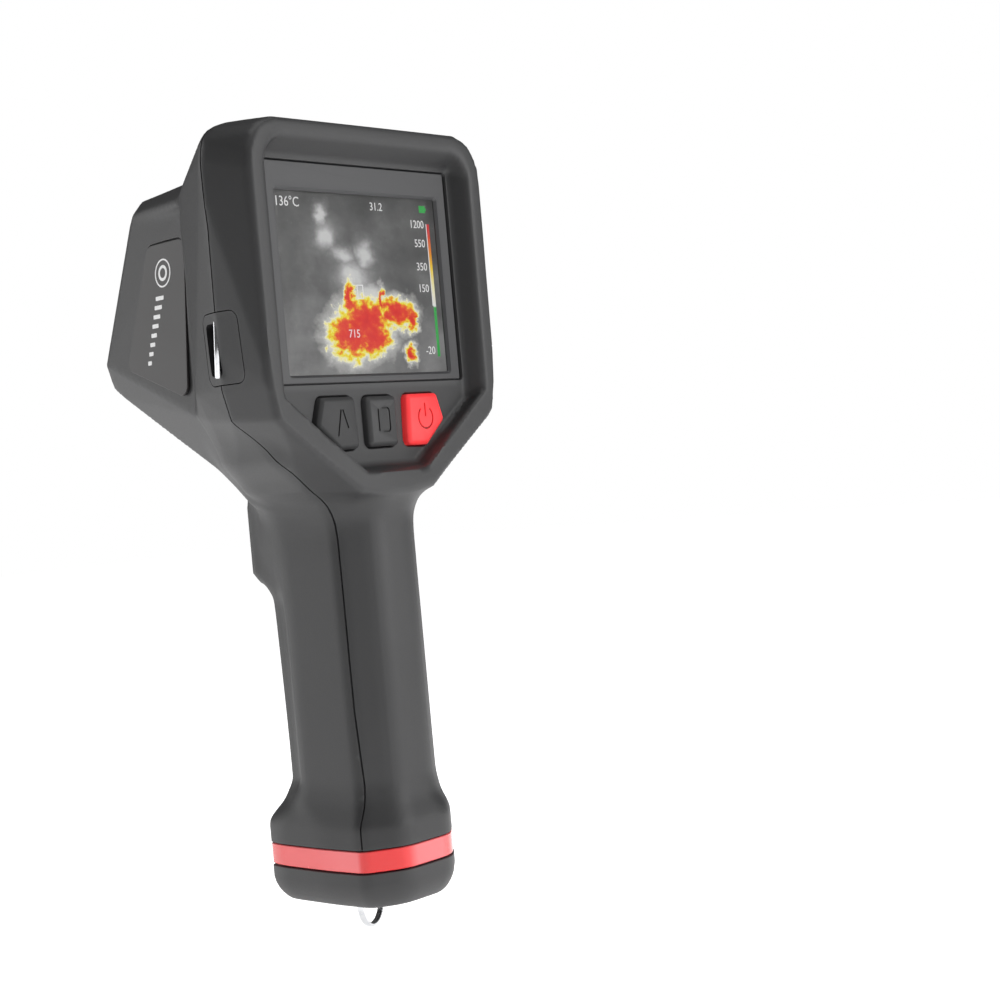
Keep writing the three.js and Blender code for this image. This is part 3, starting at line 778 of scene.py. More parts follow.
card_sign = [(-8.2, -4.6), (-2.6, -4.6), (-2.6, 3.0), (-6.6, 3.0), (-8.2, 1.4), (-8.2, -4.6)]
cover = keep_inside(copy_of(casing, "card_cover_skin"),
                    plate(cover_outline, 2.2, [(0, -1.5), (0, 6)], ROOF))
cover = combine(cover, [plate(lip_outline, 0.8, [(0, -1.7), (0, 0.1), (-0.5, 0.8)], ROOF)], "UNION")
cover = cut(cover, *roof_groove([(-10, 6.2), (9, 6.2)], 0.5), *roof_groove(card_sign, 0.5))
casing = cut(casing, plate(cover_outline, 2.2, [(0.3, -6), (0.3, 6)], ROOF),
             plate(lip_outline, 0.8, [(0.3, -1.9), (0.3, 6)], ROOF))
print("card cover:", len(cover.data.polygons), "faces")

# %% [markdown]
# The seam is not a plane: it leans and bends down the side of the camera. The cutter is its
# side view pulled across the whole width, shifted by half the gap for each shell.

# %% The two shells
SEAM = [(7, 90), (7.4, 75.5), (10, 70.5), (9.4, 45), (12.2, 10), (13.3, 0), (12.4, -10),
        (7.7, -18), (5, -25), (5, -40), (4.6, -95), (3.4, -126), (3.3, -160)]


def beside_seam(sign, shift):
    """Everything on one side of the seam, as a body drawn in the (y, z) plane."""
    beyond = [(sign * 140, -160), (sign * 140, 90)]
    edge = rounded([(y + sign * shift, z) for y, z in SEAM] + beyond,
                   [0.02] + [7.0] * (len(SEAM) - 2) + [0.02] * 3, 4)
    return skin([[(x, y, z) for y, z in ordered(edge)] for x in (-80, 80)])


HALF_GAP = 0.24
front = keep_inside(copy_of(casing, "front"), beside_seam(1, HALF_GAP))
rear = keep_inside(casing, beside_seam(-1, HALF_GAP))
for body, name, node_name in ((rear, "rear_shell", "rear_housing"),
                              (front, "front_shell", "front_housing")):
    piece(body, name, abs_charcoal, replaces=[node_name])
piece(cover, "card_cover_skin", abs_charcoal, body="card_cover", replaces=["card_cover"])

# %% [markdown]
# The strap inserts were cut out of the casing with the slots, so they lie flush. A black cup
# closes each slot from inside, and the bar is turned steel with chamfered ends.

# %% Strap inserts, cups and bars
for name, side in (("right", 1), ("left", -1)):
    piece(strap_skins[side], f"strap_insert_{name}", abs_charcoal)
    cup = scratch(flank_plate(side, strap_outline, 3.0, [(-0.35, 43.4), (-0.35, 46.2)]))
    cup = cut(cup, flank_plate(side, strap_outline, 2.4, [(-1.5, 44.6), (-1.5, 50)]))
    piece(cup, f"strap_well_{name}", abs_black, replaces=[f"strap_cup_{name}"])


# %% [markdown]
# The plate round the screen is a moulded frame with a chamfer along its outer edge and a
# wider one round the window, where the glass sits lower than the plate.

# %% Display plate
frame_plate = scratch(plate(plate_outline, 0.5, [(0, -1.15), (0, -0.2), (-0.2, 0)], REAR))
frame_plate = cut(frame_plate, plate(window_outline, 0.5,
                                     [(0, -3), (0, -0.75), (0.75, 0), (0.75, 2)], REAR))
piece(frame_plate, "display_plate", abs_insert, replaces=["display_bezel"])

# %% [markdown]
# Silicone keys are soft blocks with a broad chamfer. Each carries a plain sign pressed into
# its top: two slanting strokes, a split frame, and the usual ring and bar of a power key.
# The pressed-in floors are painted darker, a painted shade for the grooves of the signs.

# %% Keys
def stroke(points, width, depth, top=2.2):
    """A groove cutter that follows a few points on the keys' top face."""
    tools = []
    for (ax, az), (bx, bz) in zip(points, points[1:]):
        along = Vector((bx - ax, bz - az)).normalized() * (width * 0.3)
        side = Vector((-along.y, along.x)).normalized() * width / 2
        a, b = Vector((ax, az)) - along, Vector((bx, bz)) + along
        outline = ordered([tuple(a - side), tuple(b - side), tuple(b + side), tuple(a + side)])
        tools.append(plate(outline, width * 0.3, [(0, top - depth), (0, top + 1)], REAR))
    return tools


def arc(centre, radius, start, end, count=14):
    angles = [math.radians(start + (end - start) * k / count) for k in range(count + 1)]
    return [(centre[0] + radius * math.sin(a), centre[1] + radius * math.cos(a)) for a in angles]


def band(points, width, depth, top=2.2):
    """One groove cutter along a curved line."""
    left, right = [], []
    for i, point in enumerate(points):
        ahead = Vector(points[min(i + 1, len(points) - 1)]) - Vector(points[max(i - 1, 0)])
        side = Vector((-ahead.y, ahead.x)).normalized() * width / 2
        left.append(tuple(Vector(point) + side))
        right.append(tuple(Vector(point) - side))
    outline = ordered(left + right[::-1])
    return skin([[REAR @ Vector((u, v, h)) for u, v in outline] for h in (top - depth, top + 1)])


SIGNS = {
    "key_menu": stroke([(-20.4, -15.4), (-18.5, -8.0)], 0.55, 0.4)
    + stroke([(-17.7, -8.0), (-15.9, -13.2)], 0.55, 0.4),
    "key_gallery": stroke([(-2.3, -8.3), (-2.3, -14.6)], 0.55, 0.4) + [band(
        [(-0.6, -8.0), (1.6, -8.0), *arc((1.6, -9.0), 1.0, 0, 90, 5), (2.6, -13.9),
         *arc((1.6, -13.9), 1.0, 90, 180, 5), (-0.6, -14.9)], 0.55, 0.4)],
    "key_power": stroke([(19.2, -7.2), (19.2, -11.0)], 0.6, 0.4) + [
        band(arc((19.2, -11.4), 3.3, 38, 322, 22), 0.6, 0.4)]}
# Painted glow: the red key gets a faint red emission, though it holds no lamp.
key_red, shader = painted("silicone_key_red", "#f03236", "#fa4346", 12, 1.0, Roughness=0.5,
                          IOR=1.43, Emission_Color="#ff2a2e", Emission_Strength=0.12)
feed(key_red, shader, Normal=relief(key_red, grain(key_red, 0.4), 0.015))
# Painted shade: these darker colours go on the floors of the pressed-in signs, where the grooves
# lie in shade.
sign_floor_shade, _ = painted("sign_floor_painted_shade", "#0e0e0e", "#151515", 1.0, Roughness=0.6)
sign_floor_shade_red, _ = painted("sign_floor_painted_shade_red", "#8c0d10", "#9c1316", 1.0, Roughness=0.6)
SIGN_DEPTH, KEY_HIGH = 0.4, 2.2
for name, outline in KEYS.items():
    key = scratch(plate(outline, 1.6, [(-0.3, -3.3), (0, -3.0), (0, 1.15), (-0.12, 1.4),
                                       (-1.0, 2.05), (-1.35, KEY_HIGH)], REAR))
    key = cut(key, *SIGNS[name])
    floor_y = SIGN_DEPTH - KEY_HIGH
    pressed = [p.index for p in key.data.polygons
               if abs(p.center.y - floor_y) < 0.05 and p.normal.y < -0.9]
    red = name == "key_power"
    made = piece(key, f"{name}_cap", key_red if red else key_rubber, body=name, replaces=[name])
    made.data.materials.append(sign_floor_shade_red if red else sign_floor_shade)
    for index in pressed:
        made.data.polygons[index].material_index = 1
    print(name, "sign floors:", len(pressed))

# %% [markdown]
# A thermal picture is shown as soft grey with hot parts coloured from white through yellow
# to red. It could be a bitmap, but a few stretched circles, bent by noise and run through a
# colour ramp, give the same look at any size. Everything is drawn in picture units, 0 to 1
# from the lower left corner, by a Mapping node on Object coordinates.

# %% The picture's drawing board
PICTURE = {"left": -WINDOW_HALF, "low": WINDOW_LOW, "wide": 2 * WINDOW_HALF,
           "high": WINDOW_HIGH - WINDOW_LOW}
screen_glow, shader = finish("display_glow")


def vector_math(material, operation, a, b):
    return node(material, "ShaderNodeVectorMath", {"operation": operation}, i0=a, i1=b)


def number(material, operation, a, b=0.0):
    return node(material, "ShaderNodeMath", {"operation": operation, "use_clamp": False},
                i0=a, i1=b).outputs[0]


def board(material):
    """Picture coordinates, made from Object coordinates."""
    scale = (1 / (PICTURE["wide"] * MM), 0, 1 / (PICTURE["high"] * MM))
    shift = (-PICTURE["left"] * MM * scale[0], 0,
             -(PICTURE["low"] - BASE_Z) * MM * scale[2])
    return node(material, "ShaderNodeMapping", Vector=place_on(material), Scale=scale,
                Location=shift).outputs["Vector"]


def bent(material, at, scale, amount, detail=4.0):
    """The coordinates pushed about by noise, for ragged outlines."""
    noise = node(material, "ShaderNodeTexNoise", Vector=at, Scale=scale, Detail=detail,
                 Roughness=0.65).outputs["Color"]
    centred = vector_math(material, "SUBTRACT", noise, (0.5, 0.5, 0.5)).outputs[0]
    scaled = vector_math(material, "MULTIPLY", centred, (amount, 0, amount)).outputs[0]
    return vector_math(material, "ADD", at, scaled).outputs[0]


def spot(material, at, centre, size):
    """Distance from centre in units of size: 1 is on the ellipse."""
    moved = vector_math(material, "SUBTRACT", at, (centre[0], 0, centre[1])).outputs[0]
    scaled = vector_math(material, "MULTIPLY", moved, (1 / size[0], 0, 1 / size[1])).outputs[0]
    return node(material, "ShaderNodeVectorMath", {"operation": "LENGTH"},
                i0=scaled).outputs["Value"]


def nearest(material, values):
    result = values[0]
    for value in values[1:]:
        result = number(material, "MINIMUM", result, value)
    return result


def layered(material, factor, low, high):
    return node(material, "ShaderNodeMix", {"data_type": "RGBA"}, i0=factor, i6=low,
                i7=high).outputs[2]


print("picture is", PICTURE["wide"], "x", round(PICTURE["high"], 1), "mm")

# %% Grey scene, plume and hot spot
at = board(screen_glow)
cloud = node(screen_glow, "ShaderNodeTexNoise", Vector=at, Scale=3.2, Detail=5.0,
             Roughness=0.6).outputs["Fac"]
height = node(screen_glow, "ShaderNodeSeparateXYZ", Vector=at).outputs["Z"]
darker_above = number(screen_glow, "SUBTRACT", cloud, number(screen_glow, "MULTIPLY", height, 0.35))
backdrop = ramp(screen_glow, darker_above, [(0.05, "#4b4b4b"), (0.3, "#636363"), (0.6, "#8c8c8c")])
ragged = bent(screen_glow, at, 5.0, 0.16)
plume = nearest(screen_glow, [spot(screen_glow, ragged, c, r) for c, r in [
    ((0.31, 0.76), (0.085, 0.13)), ((0.40, 0.66), (0.12, 0.09)), ((0.54, 0.67), (0.09, 0.10)),
    ((0.47, 0.55), (0.17, 0.13)), ((0.29, 0.88), (0.045, 0.08)), ((0.55, 0.46), (0.16, 0.10))]])
smoke = ramp(screen_glow, plume, [(0.2, "#d4d4d4"), (0.7, "#adadad"), (1.0, "#969696")])
smoke_amount = ramp(screen_glow, number(screen_glow, "MULTIPLY", plume, 0.7),
                    [(0.2, "#ffffff"), (0.55, "#a0a0a0"), (0.95, "#000000")])
scene_grey = layered(screen_glow, smoke_amount, backdrop, smoke)
torn = bent(screen_glow, at, 13.0, 0.16, 8.0)
heat = nearest(screen_glow, [spot(screen_glow, torn, c, r) for c, r in [
    ((0.42, 0.22), (0.15, 0.15)), ((0.52, 0.30), (0.17, 0.14)), ((0.56, 0.20), (0.12, 0.11)),
    ((0.72, 0.34), (0.12, 0.09)), ((0.81, 0.30), (0.045, 0.07)), ((0.43, 0.42), (0.035, 0.11)),
    ((0.63, 0.41), (0.02, 0.08)), ((0.79, 0.11), (0.042, 0.055))]])
halo = ramp(screen_glow, number(screen_glow, "MULTIPLY", heat, 0.5),
            [(0.5, "#ffffff"), (0.6, "#b4b4b4"), (0.78, "#000000")])
with_halo = layered(screen_glow, halo, scene_grey, linear("#e6e6e2"))
speckle = node(screen_glow, "ShaderNodeTexNoise", Vector=at, Scale=30.0, Detail=4.0).outputs["Fac"]
heat_speckled = number(screen_glow, "ADD", heat, number(
    screen_glow, "SUBTRACT", number(screen_glow, "MULTIPLY", speckle, 1.1), 0.35))
hot = ramp(screen_glow, number(screen_glow, "MULTIPLY", heat_speckled, 0.7),
           [(0.0, "#e0262b"), (0.36, "#ee3128"), (0.50, "#f4502a"), (0.60, "#fb9a1e"),
            (0.70, "#fff02c"), (0.84, "#fffbd8")])
edge_mask = ramp(screen_glow, number(screen_glow, "MULTIPLY", heat_speckled, 0.7),
                 [(0.84, "#ffffff"), (0.88, "#000000")])
picture = layered(screen_glow, edge_mask, with_halo, hot)
screen_glow.node_tree.links.new(picture, shader["Emission Color"])
shader["Emission Strength"].default_value = 0.95
shader["Base Color"].default_value = linear("#0a0a0a")
shader["Roughness"].default_value = 0.3
print("picture nodes:", len(screen_glow.node_tree.nodes))

# %% [markdown]
# The readings are real shapes just in front of the picture: numbers for temperatures, a
# marker frame, a battery sign and a scale bar. Numbers come from Blender's own font, turned
# to meshes before they are placed.

# %% Display panel and readings
piece(plate([(-38, 2.1), (38, 2.1), (38, 61.1), (-38, 61.1)], 1.0,
            [(-0.3, -5.9), (0, -5.6), (0, -2.85), (-0.2, -2.65)], REAR),
      "display_panel", screen_glow, replaces=["lcd_module"])


def lettering(text, size, u, v, high=-2.56):
    """Number shapes whose lower left corner is at (u, v) in picture units."""
    curve = bpy.data.curves.new("text", "FONT")
    curve.body, curve.size, curve.extrude = text, size, 0.02
    curve.resolution_u = 3
    holder = bpy.data.objects.new("text", curve)
    scene.collection.objects.link(holder)
    mesh = evaluated(holder)
    bpy.data.objects.remove(holder)
    spot_u = PICTURE["left"] + u * PICTURE["wide"]
    spot_v = PICTURE["low"] + v * PICTURE["high"]
    mesh.transform(REAR @ Matrix.Translation((spot_u, spot_v, high)))
    return mesh


def strip(u0, v0, u1, v1, low=-2.58, high=-2.54):
    return plate([(PICTURE["left"] + u * PICTURE["wide"], PICTURE["low"] + v * PICTURE["high"])
                  for u, v in ((u0, v0), (u1, v0), (u1, v1), (u0, v1))], 0.02,
                 [(0, low), (0, high)], REAR)


def gathered(name, meshes):
    """Several bodies as one scratch object."""
    bm = bmesh.new()
    for item in meshes:
        if isinstance(item, bmesh.types.BMesh):
            mesh = bpy.data.meshes.new("part")
            item.to_mesh(mesh)
            item.free()
        else:
            mesh = item
        bm.from_mesh(mesh)
    bmesh.ops.remove_doubles(bm, verts=bm.verts, dist=1e-4)
    return scratch(bm, name)


READINGS = [("136°C", 4.0, 0.022, 0.918), ("31.2", 3.4, 0.60, 0.922), ("1200", 3.4, 0.853, 0.835),
            ("550", 3.4, 0.875, 0.725), ("350", 3.4, 0.875, 0.59), ("150", 3.4, 0.875, 0.465),
            ("-20", 3.4, 0.89, 0.105), ("715", 3.4, 0.40, 0.205)]
marker = [strip(0.475, 0.42, 0.48, 0.50), strip(0.51, 0.42, 0.515, 0.50),
          strip(0.48, 0.42, 0.51, 0.426), strip(0.48, 0.494, 0.51, 0.50)]
bright_ink, _ = painted("display_ink_white", "#ececec", "#ffffff", 0.6, stops=(0.2, 0.8),
                        into="Emission Color", Emission_Strength=0.95, Base_Color="#202020")
figures = [lettering(*reading) for reading in READINGS]
figures.append(strip(0.962, 0.385, 0.966, 0.86))
piece(gathered("figures", figures + marker), "display_figures", bright_ink)
scale_ink, shader = finish("display_ink_scale")
scale_height = node(scale_ink, "ShaderNodeSeparateXYZ", Vector=board(scale_ink)).outputs["Z"]
scale_ink.node_tree.links.new(ramp(scale_ink, scale_height, [
    (0.10, "#2fae4a"), (0.375, "#35b450"), (0.385, "#f4f4f4"), (0.50, "#fff7c0"), (0.60, "#ffd92e"),
    (0.70, "#f28a23"), (0.80, "#e0342c"), (0.86, "#d8262c")]), shader["Emission Color"])
shader["Emission Strength"].default_value = 0.9
shader["Base Color"].default_value = linear("#202020")
piece(gathered("scale", [strip(0.967, 0.09, 0.984, 0.86)]), "display_scale", scale_ink)
battery_ink, _ = painted("display_ink_green", "#2aa845", "#37bd54", 0.6, stops=(0.2, 0.8),
                         into="Emission Color", Emission_Strength=0.9, Base_Color="#202020")
battery = [strip(0.925, 0.925, 0.965, 0.965), strip(0.966, 0.937, 0.971, 0.953)]
piece(gathered("battery", battery), "display_battery_sign", battery_ink)

# %% [markdown]
# Cover glass is thin float glass with hard edges. It is clear and smooth, so it needs only
# transmission and a trace of wipe marks. Its index is set to 1.18, below the real 1.5, so
# that its sheen does not wash the picture out.

# %% Cover glass
glass, shader = finish("float_glass_cover")
shader["Transmission Weight"].default_value = 1.0
shader["IOR"].default_value = 1.18
feed(glass, shader, Roughness=uneven(glass, grain(glass, 9, 3.0), 0.015, 0.015))
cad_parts["display_window"].data.materials.clear()
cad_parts["display_window"].data.materials.append(glass)
print("glass on display_window")

# %% [markdown]
# The side labels are printed polyester film, a warm grey with a faint weave from the
# backing. The print is plain: a lens sign and a scale of strokes, in white ink that stands
# a hair above the film.

# %% Side labels and their print
film, shader = painted("polyester_film_warm_grey", "#242222", "#292727", 20, 1.0, Roughness=0.46)
feed(film, shader, Normal=relief(film, grain(film, 0.3), 0.008))
ink, _ = painted("screen_print_white", "#dcdcdc", "#ececec", 0.5, stops=(0.2, 0.8), Roughness=0.5)
LABEL_TOP = 0.05


def printed(points, radius, place):
    return plate(points, radius, [(0, LABEL_TOP - 0.02), (0, LABEL_TOP + 0.04)], place)


def ring_body(place, centre, outer, inner, low, high):
    at_centre = place @ Matrix.Translation((*centre, 0))
    return turned([(inner, low), (outer, low), (outer, high), (inner, high)], at_centre, 32, True)


for name, side in (("right", 1), ("left", -1)):
    place = label_place(side)
    piece(plate(label_outline(side), 3.0, [(0, -0.6), (0, LABEL_TOP - 0.15), (-0.15, LABEL_TOP)],
                place), f"label_film_{name}", film, replaces=[f"label_{name}"])
    prints = [ring_body(place, (-side * 3.0, 13.5), 4.3, 3.8, LABEL_TOP - 0.02, LABEL_TOP + 0.04),
              ring_body(place, (-side * 3.0, 13.5), 2.4, 1.5, LABEL_TOP - 0.02, LABEL_TOP + 0.04)]
    for k in range(8):
        length = 4.4 - 0.34 * k
        centre = (side * (-1.0 + 0.9 * k), 6.2 - 2.7 * k)
        prints.append(printed(box_outline(length / 2, 0.62, centre), 0.3, place))
    piece(gathered("print", prints), f"label_print_{name}", ink)

# %% [markdown]
# The lens pad is a square block whose top is cut to four shallow slopes that meet in a dish.
# A raised lip rings the bore. It is made as a stacked plate, cut by a flat pyramid and a
# lathe-turned funnel.

# %% Lens pad, barrel and lens
pad = scratch(plate(pad_outline, 3.2, [(0, -0.85), (0, 0.5), (-1.7, 2.2), (-2.0, 2.3)], NOSE))
rim = [(u, v, 2.35) for u, v in rounded(offset(pad_outline, -3.0), 1.2)]
heart = [(u, v, 0.75) for u, v in ring_outline(7.2, 24)]
pad = cut(pad, hull_body(rim + heart + [(u, v, 5) for u, v, _ in rim], NOSE))
pad = combine(pad, [turned([(8.9, -4), (8.9, -0.5), (7.6, 0.9), (7.35, 1.35), (6.9, 1.4)], NOSE)],
              "UNION")
pad = cut(pad, turned([(5.75, -9), (5.75, -2.8), (6.5, 1.2), (6.75, 1.5), (6.75, 6)], NOSE))
piece(pad, "lens_pad", abs_charcoal, replaces=["lens_bezel"], sharp=28)
barrel = [(2.9, -14), (4.0, -14), (4.0, -9), (8.6, -9), (8.6, -7), (4.9, -7), (4.9, -3.4),
          (4.7, -3.1), (4.2, -3.1), (4.0, -3.3), (3.9, -4.2), (3.2, -4.3), (3.1, -3.9), (2.9, -4.0)]
piece(turned(barrel, NOSE, 48, True), "lens_barrel_steps", abs_black, replaces=["lens_barrel"])
coated, shader = finish("germanium_lens_purple_coat")
coat_tint = ramp(coated, grain(coated, 1.6, 1.0),
                 [(0.35, "#4a2552"), (0.5, "#8c478f"), (0.66, "#4a4f86")])
feed(coated, shader, Base_Color=coat_tint, Roughness=uneven(coated, grain(coated, 2.0), 0.1, 0.04))
shader["Metallic"].default_value = 0.75
shader["Coat Weight"].default_value = 0.8
dome = [(2.72, -5.6), (2.75, -5.3)] + [
    (2.7 * math.cos(math.radians(a)), -5.1 + 1.0 * math.sin(math.radians(a)))
    for a in range(0, 90, 9)] + [(0.0, -4.1)]
piece(turned(dome, NOSE, 40), "lens_dome", coated, replaces=["lens_element"])

# %% [markdown]
# The trigger is a firm rubber-skinned block whose face is gently crowned. Contacts are
# turned brass domes with hard gold on top, in a thin black strip.

# %% Trigger and charging contacts
TRIGGER = basis((-1, 0, 0), (0, 0, 1), (0, 1, 0))
trigger_outline = [(-7, -53.3), (7, -53.3), (7, -27.5), (-7, -27.5)]
piece(plate(trigger_outline, 2.0, [(-0.3, 38), (0, 38.4), (0, 47.4), (-0.2, 48.3), (-0.7, 49.0),
                                   (-1.5, 49.4), (-2.6, 49.6)], TRIGGER),
      "trigger_block", key_rubber, body="trigger", replaces=["trigger"], sharp=50)
strip_body = scratch(plate(contact_outline, 1.0, [(0, -1.6), (0, 0.0), (-0.15, 0.12)], UNDER))
CONTACT_X = (-5.0, 5.0)
for x in CONTACT_X:
    strip_body = cut(strip_body, turned([(2.5, -3), (2.5, 2)],
                                        UNDER @ Matrix.Translation((-x, 0, 0)), 32))
piece(strip_body, "contact_strip", abs_charcoal, replaces=["contact_plate"])
gold, shader = painted("hard_gold_plating", "#e3bd45", "#f2d35c", 3.0, 1.0, Metallic=0.9)
feed(gold, shader, Roughness=uneven(gold, grain(gold, 0.3), 0.28, 0.06))
for name, x in zip(("left", "right"), CONTACT_X):
    dome_side = [(1.6, -3.9), (1.6, -0.6), (2.3, -0.5), (2.32, -0.1), (2.15, 0.18), (1.6, 0.36),
                 (0.8, 0.46), (0, 0.48)]
    dome_body = turned(dome_side, UNDER @ Matrix.Translation((-x, 0, 0)), 32)
    piece(dome_body, f"contact_dome_{name}", gold, replaces=[f"charge_contact_{name}"],
          sharp=60)

# %% [markdown]
# Band and cap follow the grip's lowest outline. The band is red acrylic whose colour is painted
# by a ramp on the normal: flats bright and the slanting faces deep red, painted light and shade
# for how the light falls on it. The cap is ABS, rounded towards its foot, with a pocket for the
# ring.

# %% Red band and cap
FOOT = GRIP[-1][1]
foot_ring = ordered([(-x, y) for x, y in FOOT[::-1]] + FOOT)


def foot_outline(margin):
    corners = offset(foot_ring, margin)
    reaches = CORNER_REACH[::-1] + CORNER_REACH
    return [p for i in range(len(corners)) for p in eased(
        corners[i - 1], corners[i], corners[(i + 1) % len(corners)], reaches[i])]


def foot_body(levels):
    return skin([[(x, y, z) for x, y in foot_outline(margin)] for margin, z in levels])


acrylic, shader = finish("acrylic_band_red")
# Painted light and shade: the colour follows the normal, bright on the flats and deep red on the
# slanting faces.
facing = node(acrylic, "ShaderNodeSeparateXYZ", Vector=node(
    acrylic, "ShaderNodeNewGeometry").outputs["Normal"])
painted_slant_shade = number(acrylic, "ABSOLUTE", number(acrylic, "MULTIPLY", facing.outputs["X"],
                                          facing.outputs["Y"]))
lit_and_shaded_reds = ramp(acrylic, painted_slant_shade, [(0.05, "#f0676a"), (0.25, "#e6282b"), (0.4, "#e0080b")])
feed(acrylic, shader, Base_Color=lit_and_shaded_reds, Roughness=uneven(acrylic, grain(acrylic, 5.0), 0.25, 0.05))
shader["Coat Weight"].default_value = 0.5
band_body = scratch(foot_body([(-0.4, BAND_LOW + 0.1), (-0.12, BAND_LOW + 0.35),
                               (-0.12, BAND_TOP - 0.3), (-0.4, BAND_TOP - 0.05)]))
BAND_WALL = 3.2
band_body = cut(band_body, foot_body([(-BAND_WALL, BAND_LOW - 1), (-BAND_WALL, BAND_TOP + 1)]))
piece(band_body, "band_acrylic", acrylic, replaces=["signal_band"])
RING = {"y": 20.0, "pin_z": -147.9, "wire": 0.65, "radius": 8.0, "drop": 6.15}
cap_body = scratch(foot_body([(-4.6, BASE_Z), (-3.9, BASE_Z + 0.2), (-3.0, BASE_Z + 0.9),
                              (-1.9, BASE_Z + 2.2), (-1.0, BASE_Z + 3.7), (-0.35, BASE_Z + 5.4),
                              (0.0, BASE_Z + 7.2), (0.0, BAND_LOW - 0.5), (-0.3, BAND_LOW - 0.3)]))
POCKET_TOP = -144.8
pocket = [(0.8, BASE_Z - 1), (0.8, BASE_Z), (0, BASE_Z + 0.8), (0, POCKET_TOP)]
cap_body = cut(cap_body, plate(box_outline(11.5, 4.4, (0, RING["y"])), 2.0, pocket, TOP))
piece(cap_body, "foot_cap", abs_charcoal, replaces=["base_cap"])

# %% [markdown]
# The lanyard hangs from a split ring: one wire wound twice round, so that a cord can be
# threaded on. That is a path with a round section swept along it, which is what Geometry
# Nodes do best: a flat spiral curve with a small rise, a circle as its profile, and a
# material at the end. The tree's sizes are named inputs, set on the modifier.

# %% Wire swept along a coil
def coil_tree():
    """A node group that sweeps a round wire along a coil."""
    tree = bpy.data.node_groups.new("wire_coil", "GeometryNodeTree")
    tree.interface.new_socket("Geometry", in_out="OUTPUT", socket_type="NodeSocketGeometry")
    sizes = {}
    for name, kind in (("Turns", "NodeSocketFloat"), ("Coil radius", "NodeSocketFloat"),
                       ("Rise", "NodeSocketFloat"), ("Wire radius", "NodeSocketFloat"),
                       ("Points per turn", "NodeSocketInt"), ("Material", "NodeSocketMaterial")):
        sizes[name] = tree.interface.new_socket(name, in_out="INPUT", socket_type=kind).identifier
    add, link = tree.nodes.new, tree.links.new
    given, out = add("NodeGroupInput"), add("NodeGroupOutput")
    spiral, profile, sweep = (add(kind) for kind in (
        "GeometryNodeCurveSpiral", "GeometryNodeCurvePrimitiveCircle", "GeometryNodeCurveToMesh"))
    smooth, paint, real = (add(kind) for kind in (
        "GeometryNodeSetShadeSmooth", "GeometryNodeSetMaterial", "GeometryNodeRealizeInstances"))
    link(given.outputs["Points per turn"], spiral.inputs["Resolution"])
    link(given.outputs["Turns"], spiral.inputs["Rotations"])
    link(given.outputs["Coil radius"], spiral.inputs["Start Radius"])
    link(given.outputs["Coil radius"], spiral.inputs["End Radius"])
    link(given.outputs["Rise"], spiral.inputs["Height"])
    link(given.outputs["Wire radius"], profile.inputs["Radius"])
    profile.inputs["Resolution"].default_value = 14
    sweep.inputs["Fill Caps"].default_value = True
    link(spiral.outputs["Curve"], sweep.inputs["Curve"])
    link(profile.outputs["Curve"], sweep.inputs["Profile Curve"])
    link(sweep.outputs["Mesh"], smooth.inputs["Geometry"])
    link(smooth.outputs["Geometry"], real.inputs["Geometry"])
    link(real.outputs["Geometry"], paint.inputs["Geometry"])
    link(given.outputs["Material"], paint.inputs["Material"])
    link(paint.outputs["Geometry"], out.inputs["Geometry"])
    return tree, sizes


def coil(name, place, material, sizes):
    """Runs the coil tree once and returns its result as a scratch object in place."""
    tree, sockets = coil_tree()
    holder = scratch(bmesh.new(), name)
    step = holder.modifiers.new("coil", "NODES")
    step.node_group = tree
    for key, value in sizes.items():
        step[sockets[key]] = value
    step[sockets["Material"]] = material
    mesh = evaluated(holder)
    holder.modifiers.clear()
    holder.data = mesh
    mesh.transform(place)
    bm = bmesh.new()
    bm.from_mesh(mesh)
    bmesh.ops.remove_doubles(bm, verts=bm.verts, dist=1e-4)
    bmesh.ops.recalc_face_normals(bm, faces=bm.faces)
    bm.to_mesh(mesh)
    bm.free()
    return holder


# Drawn and polished stainless wire: bright, with a slightly uneven roughness.
steel, shader = painted("stainless_wire_polished", "#c9cacc", "#dcdddf", 1.2, Metallic=1.0)
feed(steel, shader, Roughness=uneven(steel, grain(steel, 0.4), 0.18, 0.06))
ring_place = Matrix.Translation((0, RING["y"], RING["pin_z"] - RING["drop"])) @ Matrix.Rotation(
    math.radians(16.5), 4, "Z") @ basis((1, 0, 0), (0, 0, 1), (0, -1, 0), (0, 0.6, 0)) @ (
    Matrix.Rotation(math.radians(60), 4, "Z"))
ring = coil("split_ring", ring_place, steel, {
    "Turns": 1.9, "Coil radius": RING["radius"], "Rise": 1.2, "Wire radius": RING["wire"],
    "Points per turn": 72})
piece(ring, "split_ring", steel, body="lanyard_ring", replaces=["lanyard_ring"],
      sharp=60)
behind_trigger = basis((1, 0, 0), (0, 0, -1), (0, 1, 0), (0, 29.2, -49))
under_battery = basis((1, 0, 0), (0, 1, 0), (0, 0, 1), (0, 15.5, -122.6))
for name, place, turns, radius, rise, wire in (
        ("trigger_spring", behind_trigger, 6, 1.8, 8.3, 0.32),
        ("battery_spring", under_battery, 4, 4.0, 3.9, 0.45)):
    made = coil(f"{name}_wire", place, steel, {"Turns": turns, "Coil radius": radius, "Rise": rise,
                                               "Wire radius": wire, "Points per turn": 28})
    piece(made, f"{name}_wire", steel, replaces=[name], sharp=60)

# %% [markdown]
# The strap bars are ground rods with chamfered ends, lathe-turned like the dish.

